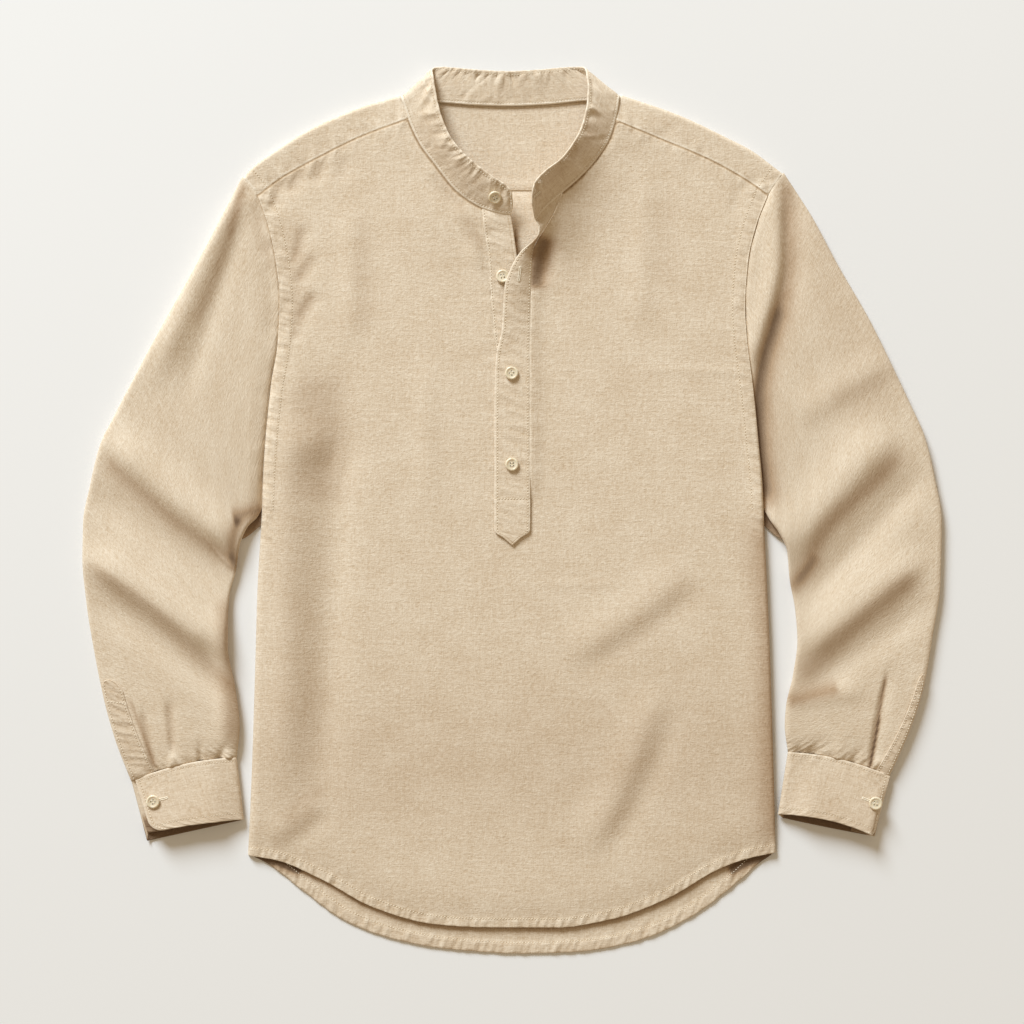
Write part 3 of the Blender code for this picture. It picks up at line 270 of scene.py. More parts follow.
# soft round rises: x, y, height and radius
FRONT_RISES = mm([
    (-50, 268, 2.4, 45),
    (-92, 335, 2.2, 35),
    (92, 335, 2.4, 35),
    (64, 288, 3, 32),
    (30, 254, 6.6, 26),
    (15, 208, 2.6, 20),
    (-174, 56, 3.2, 20),
    (-146, 48, -1.2, 20),
])
LEFT_SLEEVE_FOLDS = fold_rows([
    (-223.5, 300.5, -302.7, 122.1, 0, 5.6, 13, 1),
    (-225.3, 266.6, -280.4, 98.9, 0, -1.2, 8, 1),
    (-342.3, 59.6, -235.6, -30.7, 4, 6.2, 15, 1.25),
    (-361.2, 17.2, -242.5, -64.5, 0, -2.8, 16, 1),
    (-362.9, -39.6, -247.7, -118.7, 0, 6.4, 15.5, 1.25),
    (-354.3, -77.4, -244.2, -154.8, 0, -2.4, 14, 1),
    (-250, -85, -243, -200, 0, 3.4, 8.5, 1),
])
RIGHT_SLEEVE_FOLDS = fold_rows([
    (320.8, 127.3, 247.7, 81.7, 0, 1.8, 14, 0.9),
    (320.8, 62.8, 232.2, -36.1, 0, 6, 19.5, 0.85),
    (350.9, 29.2, 252.8, -75.7, 0, -3, 14, 0.93),
    (345.7, -44.7, 249.4, -120.4, 0, 5.2, 16.5, 0.82),
    (354.3, -82.6, 247.7, -158.2, 0, -2, 13, 1),
    (299.3, -154.8, 239.1, -165.1, 0, 1.2, 9, 0.9),
])
# smaller creases, in the same columns
FRONT_CREASES = fold_rows([
    (-179.7, 242.5, -186.6, 213.3, 0, -1.1, 4.8, 1.5),
    (-169.4, 218.4, -184.9, 196.1, 0, -1, 5.2, 1.5),
    (-169.4, 185.8, -183.2, 162.5, 0, -1.2, 5.8, 1.5),
    (-183.2, 160, -186.6, 145.3, 0, -0.8, 4, 1.4),
    (-198.7, 283.8, -205.5, 260, 0, -1.4, 4.4, 1.5),
    (-180.6, 290.6, -191.8, 273.5, 0, -1.3, 5, 1.5),
    (-163.4, 298.4, -170.3, 281.2, 0, -1.2, 5, 1.5),
    (-144.5, 303, -147.9, 283.8, 0, -0.8, 5.5, 1.5),
    (196.1, 279.5, 190.1, 253.7, 0, -0.9, 3.5, 1),
    (110.1, 120.4, 200.4, 118.7, 0, 0.4, 3, 1),
    (24.1, -64.5, 92.9, -62.8, 0, 0.3, 3, 1),
])
LEFT_SLEEVE_CREASES = fold_rows([
    (-317.3, -172, -307.9, -221, 0, -1.4, 3, 1.5),
    (-295, -164, -290.7, -213, 0, -1.6, 3.4, 1.5),
    (-262, -23, -239.5, -50, 2, 0.8, 1.4, 1),
])
RIGHT_SLEEVE_CREASES = fold_rows([
    (321.2, -140, 306.8, -220, 1.5, -1.8, 3.4, 2.2),
])
# soft bands along curved lines: size, half widths to the left and to the right, and points of the
# line. First the longer folds beside the armholes, whose size is their height
LEFT_HEAD_LINES = line_rows([
    (-1.1, 5, 8, (-220.2, 262.3), (-213.3, 236.5), (-208.1, 206.4), (-204.7, 176.3),
     (-206.4, 146.2)),
], 0.001)
RIGHT_HEAD_LINES = line_rows([
    (2.2, 7, 10, (225.3, 275.2), (226.2, 249.4), (226.2, 215), (219.3, 180.6), (210.7, 150.5),
     (206.4, 129)),
    (-3.8, 13, 5.6, (233.9, 278.6), (236.5, 249.4), (236.5, 215), (231.3, 180.6), (222.7, 154.8),
     (215.9, 129), (212.4, 101.5), (212.4, 60.2), (215, 30.1), (219.3, 4.3)),
], 0.001)
# then the places where shade is painted into the cloth's colour, in folds and beside seams and
# hems; the size is the share of painted shade
FRONT_PAINTED_SHADE = line_rows([
    (0.7, 11.5, 11, (30.1, 235.6), (24.9, 221.9), (21.5, 206.4), (19.8, 189.2)),
    (0.22, 22, 22, (-172, 111.8), (-162.5, 60.2), (-166, 4.3)),
    (0.07, 16, 16, (-184, 94.6), (-192.6, -8.6), (-196.1, -111.8), (-197.8, -215)),
    (0.07, 20, 20, (-172, 0), (-173.7, -111.8), (-166.8, -215)),
    (0.12, 75, 60, (-233.9, -223.6), (-96.3, -219.3), (41.3, -215), (239.1, -219.3)),
    (0.44, 16.5, 16.5, (226.2, -293.3), (224.5, -180.6), (221, -77.4), (215.9, -25.8),
     (217.6, -1.7)),
    (0.13, 4.5, 6.5, (-65.4, 292.4), (-43, 256.3), (-25.8, 223.6)),
    (0.19, 4.2, 4.2, (-180.6, 242.5), (-184, 227), (-186.6, 213.3)),
    (0.15, 5.5, 5.5, (-169.4, 218.4), (-177.2, 208.1), (-184.9, 196.1)),
    (0.19, 6, 6, (-169.4, 185.8), (-177.2, 175.4), (-183.2, 162.5)),
    (0.11, 3.6, 3.6, (-183.2, 160), (-186.6, 145.3)),
    (0.16, 4.2, 4.2, (-199.5, 282.1), (-205.5, 261.4)),
    (0.15, 4.6, 4.6, (-180.6, 290.7), (-191.8, 273.5)),
    (0.12, 4.6, 4.6, (-163.4, 298.4), (-170.3, 281.2)),
    (0.09, 5, 5, (-144.5, 302.7), (-147.9, 283.8)),
    (0.09, 11, 11, (-190.9, 253.7), (-187.5, 206.4), (-187.5, 154.8)),
    (0.09, 9, 9, (-129, 253.7), (-125.6, 154.8)),
    (0.06, 10, 10, (131.6, 270.9), (134.2, 189.2)),
    (0.06, 18, 18, (75.7, -124.7), (127.3, -86), (153.1, -55.9)),
    (0.06, 18, 18, (75.7, -275.2), (97.2, -223.6), (123, -172)),
    (0.06, 9, 9, (-182.3, 115.2), (-146.2, 106.6)),
    (0.1, 7.5, 7.5, (-203.8, -292.4), (-190.9, -276.9), (-166.8, -254.6)),
    (0.12, 5.5, 5.5, (-196.9, -268.3), (-180.6, -249.4), (-160, -240.8)),
])
PLACKET_PAINTED_SHADE = line_rows([
    (0.5, 3.5, 3.5, (20.6, 235.6), (18.9, 213.3)),
])
COLLAR_PAINTED_SHADE = line_rows([
    (0.13, 16, 16, (-20.2, 270.7), (-39.5, 284.1), (-54.8, 301.2), (-66.7, 317.7), (-74.8, 336.7)),
    (0.4, 1.8, 1.8, (18.5, 264.5), (24.5, 270.9)),
    (0.12, 6, 6, (20.6, 278.6), (34.4, 285.5), (58.5, 307.9), (77.4, 337.1)),
])
LEFT_SLEEVE_PAINTED_SHADE = line_rows([
    (0.22, 4.2, 4.2, (-229.6, 278.6), (-233.9, 263.2), (-238.2, 247.7), (-246, 223.6),
     (-257.1, 193.5), (-271.8, 159.1)),
    (0.26, 3.2, 3.2, (-229.6, 280.4), (-233.1, 266.6), (-237.4, 252), (-242.5, 233.9)),
    (0.32, 4.5, 9, (-350, 46.4), (-328.5, 25.8), (-285.5, -11.2), (-249.4, -36.1), (-234.8, -44.7)),
    (0.24, 4.5, 11, (-361.2, -47.3), (-328.5, -68.8), (-304.4, -87.7), (-276.9, -113.5),
     (-237.4, -154.8)),
    (0.6, 6.8, 6.8, (-239.9, -6), (-228.8, -3.4), (-215, 0.9)),
    (0.55, 5, 5, (-233.9, -6.9), (-239.9, -30.1), (-237.4, -53.3)),
    (0.36, 9.5, 9.5, (-246, -74), (-240.8, -137.6), (-238.2, -202.1)),
    (0.11, 4.5, 4.5, (-221.9, 266.6), (-215.9, 235.6), (-211.6, 218.4)),
    (0.13, 4, 4, (-209.8, 233.9), (-209, 206.4)),
    (0.38, 1.8, 1.8, (-327.7, -161.7), (-314.8, -196.9), (-305.3, -222.7)),
    (0.22, 3.2, 3.2, (-317.3, -173.7), (-312.2, -197.8), (-307.9, -220.2)),
    (0.2, 3.8, 3.8, (-295, -166), (-292.4, -184.9), (-290.7, -208.1)),
])
RIGHT_SLEEVE_PAINTED_SHADE = line_rows([
    (0.39, 9.5, 5, (233.1, 282.1), (236.5, 253.7), (238.2, 216.7), (234.8, 187.5), (232.2, 178.6)),
    (0.76, 13, 4.4, (232.2, 185.8), (224.5, 160), (215, 127.3), (210.7, 98.9), (211.6, 60.2),
     (215, 25.8), (219.3, 0)),
    (0.42, 8.5, 8.5, (333.7, 49.9), (316.5, 30.1), (288.1, 4.3), (266.6, -19.8), (252.8, -48.2),
     (239.1, -69.7)),
    (0.24, 6.5, 6.5, (263.2, -39.6), (249.4, -56.8), (238.2, -68.8)),
    (0.34, 10.5, 10.5, (347.4, -55), (325.1, -73.1), (299.3, -94.6), (271.8, -118.7),
     (245.1, -146.2)),
    (0.5, 8.5, 6, (235.6, -164.3), (252.8, -160), (280.4, -153.1)),
    (0.1, 9, 9, (271.8, 94.6), (304.4, 105.8), (330.2, 122.1)),
    (0.08, 30, 30, (260.6, 266.6), (282.1, 180.6), (316.5, 77.4)),
    (0.8, 1.6, 1.3, (320.8, -141.9), (316.5, -165.1), (307, -221)),
    (0.6, 1.6, 1.3, (315.6, -176.3), (311.3, -199.5), (306.2, -223.6)),
    (0.6, 1.3, 1.3, (349.2, -151.4), (337.1, -178.9), (330.2, -196.1), (321.6, -213.3)),
])
# painted shadow under the front's hem and at the hem's corners, and painted shade along the back's
# hem and at the neck beside the under placket
BACK_PAINTED_SHADE = [(BACK_HEM, 0.06, 0.0130, 0.0130), (FRONT_HEM, 0.60, 0.0036, 0.0036)] + line_rows([
    (0.75, 2.2, 2.2, (1.2, 247), (3.6, 232), (5.6, 218)),
    (0.9, 5, 5, (-223.6, -298.4), (-201.2, -302.7), (-180.6, -311.3)),
    (0.9, 4.5, 4.5, (225.3, -297.6), (206.4, -301.9), (185.8, -312.2)),
])


# ---- smooth lines through tables ----
def mix(a, b, t):
    return a + (b - a) * t


def ease(t):
    t = np.clip(t, 0.0, 1.0)
    return t * t * (3 - 2 * t)


def bell(distance, width):
    """1 at a distance of 0, and near 0 from twice the width on."""
    return np.exp(-(distance / width) ** 2)


def faded(share, past, over):
    """1 along a line, fading to 0 a little past both of its ends."""
    return ease((share + past) / over) * ease((1 + past - share) / over)


def rounded(distance, width):
    """Share of the full height at a distance in from a rolled edge: a quarter ellipse."""
    t = np.clip(distance / width, 0.0, 1.0)
    return np.sqrt(1 - (1 - t) ** 2)


def unit(vectors):
    return vectors / np.maximum(np.linalg.norm(vectors, axis=-1, keepdims=True), 1e-12)


def run(points):
    """The distance along a line at each of its points."""
    return np.concatenate([[0], np.cumsum(np.linalg.norm(np.diff(points, axis=0), axis=1))])


def spread(stops, largest):
    """More stops between given ones, so that none is further from the next than the largest."""
    out = [stops[0]]
    for a, b in zip(stops, stops[1:]):
        steps = max(1, math.ceil((b - a) / largest - 1e-6))
        out += [mix(a, b, (i + 1) / steps) for i in range(steps)]
    return np.array(out)


class Track:
    """Smooth values between table rows that never overshoot them. The first column is the key."""

    def __init__(self, rows):
        rows = np.array(rows, float)
        self.keys, self.values = rows[:, 0], rows[:, 1:]
        steps = np.diff(self.values, axis=0) / np.diff(self.keys)[:, None]
        product = steps[:-1] * steps[1:]
        total = np.where(product > 0, steps[:-1] + steps[1:], 1.0)
        inner = np.where(product > 0, 2 * product / total, 0.0)
        self.slopes = np.vstack([steps[:1], inner, steps[-1:]])

    def at(self, key):
        key = np.clip(np.asarray(key, float), self.keys[0], self.keys[-1])
        i = np.clip(np.searchsorted(self.keys, key, side="right") - 1, 0, len(self.keys) - 2)
        span = (self.keys[i + 1] - self.keys[i])[..., None]
        t = (key - self.keys[i])[..., None] / span
        out = (self.values[i] * (1 + 2 * t) * (1 - t) ** 2
               + self.slopes[i] * span * t * (1 - t) ** 2
               + self.values[i + 1] * t * t * (3 - 2 * t)
               + self.slopes[i + 1] * span * t * t * (t - 1))
        return out[..., 0] if out.shape[-1] == 1 else out


def row_track(table):
    """Smooth values of a table by the number of the row."""
    table = np.array(table, float)
    return Track(np.column_stack([np.arange(len(table)), table]))


class Path:
    """A smooth line in plan, read by the share of its length."""

    def __init__(self, points):
        points = np.array(points, float)
        lengths = run(points)
        self.length = lengths[-1]
        self.at = Track(np.column_stack([lengths / lengths[-1], points])).at


def patch(bottom, top, left, right, across, up):
    """Plan points, rows by columns, between four lines (a Coons patch)."""
    u, v = across[None, :, None], up[:, None, None]
    corners = mix(mix(bottom[0], bottom[-1], u), mix(top[0], top[-1], u), v)
    return mix(bottom[None], top[None], v) + mix(left[:, None], right[:, None], u) - corners


# ---- creases, bands and ripples ----
# how far past its ends a fold or band reaches, and how long it fades, as shares of its length
FOLD_ENDS = (0.15, 0.35)
BAND_ENDS = (0.05, 0.15)
PAINTED_SHADE_GAIN = 1.18
DEEPEST_PAINTED_SHADE = 0.95
BELL_END = 2.5    # past this many widths a bell is as good as 0
CHUNK = 4000      # places that are compared with a line at a time


def folds(table, x, y):
    total = np.zeros_like(x)
    for x0, y0, x1, y1, bow, height, width, skew in table:
        dx, dy = x1 - x0, y1 - y0
        length = math.hypot(dx, dy)
        along = ((x - x0) * dx + (y - y0) * dy) / length ** 2
        across = ((x - x0) * dy - (y - y0) * dx) / length - 4 * bow * along * (1 - along)
        reach = np.where(across > 0, width / skew, width * skew)
        total += height * faded(along, *FOLD_ENDS) * bell(across, reach)
    return total


def line_bands(lines, x, y):
    """Soft bands along curved lines, fading at both ends."""
    total = np.zeros(x.size)
    for points, size, left, right in lines:
        line = Seam(points)
        index, along, across, away = line.near(x, y, 3 * max(left, right))
        reach = np.where(across > 0, left, right)
        total[index] += size * faded(along / line.length, *BAND_ENDS) * bell(away, reach)
    return total.reshape(x.shape)


def painted_shade_share(lines, x, y):
    """How much shade is painted into the cloth's colour, from 0 to 1."""
    return np.clip(PAINTED_SHADE_GAIN * line_bands(lines, x, y), 0.0, DEEPEST_PAINTED_SHADE)


def rises(table, x, y):
    return sum(height * np.exp(-((x - x0) ** 2 + (y - y0) ** 2) / radius ** 2)
               for x0, y0, height, radius in table)


class Seam:
    """A seam's line in plan, which finds places by their distance along and across it."""

    STEP = 0.001

    def __init__(self, points):
        path = Path(points)
        count = max(8, round(path.length / self.STEP))
        self.points = path.at(np.linspace(0, 1, count))
        self.along = unit(np.gradient(self.points, axis=0))
        self.length = path.length
        self.spacing = path.length / (count - 1)

    def beside(self, distance):
        """The line at a distance to the left of the seam."""
        return self.points + np.column_stack([-self.along[:, 1], self.along[:, 0]]) * distance

    def near(self, x, y, reach):
        """Indices of the places within reach, and their distances along, across and away."""
        low, high = self.points.min(0) - reach, self.points.max(0) + reach
        flat_x, flat_y = x.ravel(), y.ravel()
        index = np.flatnonzero((flat_x > low[0]) & (flat_x < high[0])
                               & (flat_y > low[1]) & (flat_y < high[1]))
        place = np.column_stack([flat_x[index], flat_y[index]])
        away = np.empty(len(index))
        nearest = np.empty(len(index), int)
        for start in range(0, len(index), CHUNK):
            part = slice(start, start + CHUNK)
            squares = ((place[part, None] - self.points[None]) ** 2).sum(-1)
            nearest[part] = squares.argmin(1)
            away[part] = np.sqrt(squares.min(1))
        keep = away < reach
        index, place, nearest, away = index[keep], place[keep], nearest[keep], away[keep]
        offset = place - self.points[nearest]
        line = self.along[nearest]
        across = line[:, 0] * offset[:, 1] - line[:, 1] * offset[:, 0]
        along = nearest * self.spacing + (offset * line).sum(1)
        return index, along, across, away


# ranges of a ripple's place in its lane, its width to the spacing, and its height and reach to
# the given ones, and how much its lean varies
RIPPLE_PLACE = (0.1, 0.9)
RIPPLE_WIDTH = (0.20, 0.45)
RIPPLE_HEIGHT = (0.25, 1.0)
RIPPLE_REACH = (0.35, 1.2)
RIPPLE_LEAN = 0.35


def ripple_rows(along, across, length, seed, spacing, height, reach, lean=0.0):
    """Small uneven ripples that start at a line and run away from it."""
    draw = np.random.default_rng(seed)
    total = np.zeros(along.shape)
    count = max(1, int(length / spacing))
    centres = (np.arange(count) + draw.uniform(*RIPPLE_PLACE, count)) * length / count
    widths = spacing * draw.uniform(*RIPPLE_WIDTH, count)
    sizes = height * draw.uniform(*RIPPLE_HEIGHT, count)
    sizes = sizes * np.where(draw.random(count) < 0.5, 1, -1)
    reaches = reach * draw.uniform(*RIPPLE_REACH, count)
    leans = lean + draw.normal(0, RIPPLE_LEAN, count)
    for centre, width, size, far, slant in zip(centres, widths, sizes, reaches, leans):
        shift = along - centre - slant * across
        near = np.abs(shift) < 3 * width
        total[near] += size * bell(shift[near], width) * bell(across[near], far)
    return total


def seam_ripples(x, y, seam, seed, spacing, height, reach):
    """Those ripples on both sides of a seam, as heights of places in plan."""
    total = np.zeros(x.size)
    index, along, across, _ = seam.near(x, y, BELL_END * reach)
    total[index] = ripple_rows(along, across, seam.length, seed, spacing, height, reach)
    return total.reshape(x.shape)


BAND_START = 0.0012    # over this width a raised band comes up at its seam
BAND_END = 0.0016      # and comes down at its other side
BAND_MARGIN = 0.004


def band(x, y, seam, width, height):
    """A raised strip along both sides of a seam."""
    total = np.zeros(x.size)
    index, _, _, away = seam.near(x, y, width + BAND_MARGIN)
    shape = ease(away / BAND_START + 0.5) * ease((width - away) / BAND_END + 0.5)
    total[index] = height * shape
    return total.reshape(x.shape)


def nearness(x, y, seam, reach):
    """1 on a seam, fading to 0 at about twice the reach from it."""
    share = np.zeros(x.size)
    index, _, _, away = seam.near(x, y, BELL_END * reach)
    share[index] = bell(away, reach)
    return share.reshape(x.shape)


# ---- heights of the body ----
HEM_FALL = 0.018      # how far above the hem the front comes down to its height
NECK_HALF = 0.13      # half the width of the part of the front that the collar can hold
HOLD_START = 0.030    # how far above the slot's foot the placket's hold is full
HELD_COUNT = 60       # held points along each side of the collar
HELD_STEP = 0.003     # from one held point beside a placket to the next
collar_track = row_track(COLLAR)
edge_height = Track(EDGE_HEIGHT)


def collar_point(station, rise):
    values = collar_track.at(station)
    return mix(values[..., :3], values[..., 3:], np.asarray(rise)[..., None])


def beside_collar(stations):
    """Points just outside and below the collar's seam."""
    edge = collar_point(np.asarray(stations, float), 0.0)
    out = edge.copy()
    out[:, :2] += unit(edge[:, :2] - NECK_CENTRE) * COLLAR_GAP
    out[:, 2] -= COLLAR_STEP
    return out


def held_points():
    """Points beside the collar and plackets through which the front's surface runs."""
    lines = [beside_collar(np.linspace(neck[0], placket[0], HELD_COUNT))
             for neck, placket in ((LEFT_NECK_STATIONS, UNDER_STATIONS),
                                   (RIGHT_NECK_STATIONS, OVER_STATIONS))]
    under = [(x, y, z) for x, _, y, z in UNDER_PLACKET]
    over = [row[3:6] for row in OVER_PLACKET]
    for top, edge in ((lines[0][-1], under), (lines[1][-1], over)):
        line = np.vstack([top, edge])
        line = line[line[:, 1] > SLOT_FOOT_Y]
        lengths = run(line)
        track = Track(np.column_stack([lengths, line]))
        lines.append(track.at(np.arange(0, lengths[-1], HELD_STEP)))
    return np.vstack(lines)


HELD = held_points()
LEFT_NECKLINE = beside_collar(LEFT_NECK_STATIONS)[:, :2]
RIGHT_NECKLINE = beside_collar(RIGHT_NECK_STATIONS)[:, :2]
LEFT_FRONT_SEAM = LEFT_SHOULDER_SEAM + [tuple(LEFT_NECKLINE[0])]
RIGHT_FRONT_SEAM = RIGHT_SHOULDER_SEAM + [tuple(RIGHT_NECKLINE[0])]
SEAMS = {
    "left_armhole": Seam(LEFT_ARMHOLE), "right_armhole": Seam(RIGHT_ARMHOLE),
    "left_shoulder": Seam(LEFT_FRONT_SEAM), "right_shoulder": Seam(RIGHT_FRONT_SEAM),
    "left_neck": Seam(LEFT_NECKLINE), "right_neck": Seam(RIGHT_NECKLINE),
    "left_slot": Seam(LEFT_SLOT), "right_slot": Seam(RIGHT_SLOT),
    "front_hem": Seam(FRONT_HEM), "back_hem": Seam(BACK_HEM),
    "left_end": Seam([LEFT_ARMHOLE[-1], LEFT_SHOULDER_FOLD[0]]),
    "right_end": Seam([RIGHT_ARMHOLE[-1], RIGHT_SHOULDER_FOLD[0]]),
}


def front_height(x, y, inset):
    """Height of the front's outer face, without creases, at a distance from its side edge."""
    inner = FRONT_LOFT + folds(FRONT_FOLDS, x, y) + rises(FRONT_RISES, x, y)
    inner = np.maximum(inner, FRONT_LEAST)
    inner = mix(inner, HEM_HEIGHT, nearness(x, y, SEAMS["front_hem"], HEM_FALL))
    flat = inner.ravel().copy()
    places = np.column_stack([x.ravel(), y.ravel()])
    near = np.flatnonzero((np.abs(places[:, 0]) < NECK_HALF) & (places[:, 1] > SLOT_FOOT_Y))
    for start in range(0, len(near), CHUNK):
        part = near[start:start + CHUNK]
        squares = ((places[part][:, None] - HELD[None, :, :2]) ** 2).sum(-1)
        least = squares.min(1)
        weights = np.exp((least[:, None] - squares) / HOLD_BLEND ** 2)
        held = (weights * HELD[None, :, 2]).sum(1) / weights.sum(1)
        share = np.exp(-least / HOLD_REACH ** 2)
        share *= ease((places[part][:, 1] - SLOT_FOOT_Y) / HOLD_START)
        flat[part] = mix(flat[part], held, share)
    roll = np.where(x > 0, RIGHT_SIDE_ROLL, SIDE_ROLL)
    lift = np.where(x > 0, RIGHT_EDGE_LIFT, 0.0) * ease(-y / EDGE_LIFT_END)
    return mix(edge_height.at(y) + lift, flat.reshape(x.shape), rounded(inset, roll))


# ---- closed shells ----
def grid_normals(points, closed=False):
    if closed:
        du = np.roll(points, -1, axis=1) - np.roll(points, 1, axis=1)
    else:
        du = np.gradient(points, axis=1)
    return unit(np.cross(du, np.gradient(points, axis=0)))


def mesh_object(name, places, faces, finish=None, smooth=True):
    mesh = bpy.data.meshes.new(name)
    mesh.from_pydata(places, [], faces)
    if smooth:
        mesh.shade_smooth()
    if finish:
        mesh.materials.append(finish)
    obj = bpy.data.objects.new(name, mesh)
    bpy.context.scene.collection.objects.link(obj)
    return obj


def shell(name, points, thickness, fields, closed=False, skip=None, rim=3):
    """A closed linen shell whose outer face runs through a grid of points, with rounded edges.

    Seen from outside, columns run to the right and rows run up. fields are arrays of three
    numbers for each point, kept on the mesh under their names.
    """
    rows, columns = points.shape[:2]
    normals = grid_normals(points, closed)
    number = np.arange(rows * columns).reshape(rows, columns)
    right = np.roll(number, -1, axis=1) if closed else number[:, 1:]
    left = number if closed else number[:, :-1]
    quads = np.stack([left[:-1], right[:-1], right[1:], left[1:]], axis=-1)
    if skip is not None:
        quads = quads[~skip]
    quads = quads.reshape(-1, 4)
    used = np.unique(quads)
    renumber = np.full(rows * columns, -1)
    renumber[used] = np.arange(len(used))
    quads = renumber[quads]
    place = points.reshape(-1, 3)[used]
    normal = normals.reshape(-1, 3)[used]
    depth = np.broadcast_to(thickness, (rows, columns)).reshape(-1)[used][:, None]
    starts = quads.ravel()
    ends = np.roll(quads, -1, axis=1).ravel()
    pairs = set(zip(starts.tolist(), ends.tolist()))
    border = np.array([pair for pair in zip(starts.tolist(), ends.tolist())
                       if pair[::-1] not in pairs])
    out = np.zeros_like(place)
    line = unit(place[border[:, 1]] - place[border[:, 0]])
    for end in (0, 1):
        np.add.at(out, border[:, end], unit(np.cross(line, normal[border[:, end]])))
    out = unit(out)
    ring = np.unique(border)
    middle = place[ring] - normal[ring] * depth[ring] / 2
    count = len(place)
    in_ring = np.full(count, -1)
    in_ring[ring] = np.arange(len(ring))
    parts = [place, place - normal * depth]
    sources = [np.arange(count)] * 2
    levels = [np.arange(count)]
    for step in range(rim):
        angle = math.pi * (step + 1) / (rim + 1)
        turn = normal[ring] * math.cos(angle) + out[ring] * math.sin(angle)
        parts.append(middle + turn * depth[ring] / 2)
        sources.append(ring)
        levels.append(2 * count + step * len(ring) + in_ring)
    levels.append(np.arange(count) + count)
    faces = [quads, quads[:, ::-1] + count]
    a, b = border[:, 0], border[:, 1]
    for low, high in zip(levels, levels[1:]):
        faces.append(np.column_stack([low[b], low[a], high[a], high[b]]))
    obj = mesh_object(name, np.vstack(parts).tolist(), np.vstack(faces).tolist(), LINEN)
    source = np.concatenate(sources)
    # the edge attribute marks every border and rim, which the material lightens: a painted
    # highlight
    edge_highlight = np.zeros(len(source), np.float32)
    edge_highlight[2 * count:] = 1.0
    edge_highlight[ring] = 1.0
    obj.data.attributes.new("edge", "FLOAT", "POINT").data.foreach_set("value", edge_highlight)
    for key, field in fields.items():
        values = field.reshape(-1, 3)[used][source]
        made = obj.data.attributes.new(key, "FLOAT_VECTOR", "POINT")
        made.data.foreach_set("vector", values.astype(np.float32).ravel())
    return obj


# ---- what the linen's material reads from the mesh ----
SEAM_LINE_SHARPNESS = 0.6
SEAM_REACH = 0.012
PUCKER_TURN = 0.002     # over this width the strength of puckers changes past a band,
PUCKER_START = 0.001    # and over this one they set in at its seam


def joined(*parts):
    """Three numbers for each place."""
    return np.stack(np.broadcast_arrays(*parts), axis=-1)


def cloth_field(u, v, painted_shade=0.0):
    """Places of the weave, in millimetres along the two threads, and the share of painted shade."""
    return joined(u * 1000.0, v * 1000.0, painted_shade)


def stitch_field(across, along, shown):
    """Distance across and along a line of stitches in millimetres, and where it shows."""
    return joined(across * 1000.0, along * 1000.0, np.asarray(shown, float))


def seam_field(x, y, seam, offset):
    """A line of stitches at an offset from a seam."""
    field = np.zeros((x.size, 3))
    index, along, across, _ = seam.near(x, y, abs(offset) + SEAM_REACH)
    shown = (along >= 0) & (along <= seam.length)
    field[index] = np.column_stack([(across - offset) * 1000, along * 1000, shown])
    return field.reshape(*x.shape, 3)


def either(first, second):
    """The first of two lines of stitches where it shows, else the second."""
    return np.where(first[..., 2:] > 0, first, second)


def pucker_field(over_first, over_second, shape):
    """Strength of the puckers that run across the weave's first and second thread."""
    return joined(np.asarray(over_first, float), over_second, np.zeros(shape))


def seam_puckers(x, y, lines):
    """The puckers beside several seams. Each line gives a seam, which thread they cross, the
    signed width of the seam's band, their strength in the band and past it, and their reach."""
    field = np.zeros((x.size, 3))
    for seam, thread, width, inside, outside, reach in lines:
        index, _, across, _ = seam.near(x, y, abs(width) + BELL_END * reach)
        across = across * math.copysign(1.0, width)
        past = across - abs(width)
        strength = mix(inside, outside * bell(np.maximum(past, 0), reach),
                       ease(past / PUCKER_TURN + 0.5))
        strength = strength * ease(across / PUCKER_START + 1)
        field[index, thread] = np.maximum(field[index, thread], strength)
    return field.reshape(*x.shape, 3)


def painted_seam_lines(x, y, seams, strength, offset=0.0):
    """Painted lines beside several seams, at one distance from them: a painted shadow where the
    strength is above 0, else a painted highlight."""
    field = np.zeros((x.size, 3))
    nearest = np.full(x.size, 1.0)
    for seam in seams:
        index, along, _, away = seam.near(x, y, SEAM_REACH)
        closer = away < nearest[index]
        index, along, away = index[closer], along[closer], away[closer]
        nearest[index] = away
        field[index] = np.column_stack([(away - offset) * 1000 * SEAM_LINE_SHARPNESS,
                                        along * 1000, np.full(len(index), strength)])
    return field.reshape(*x.shape, 3)


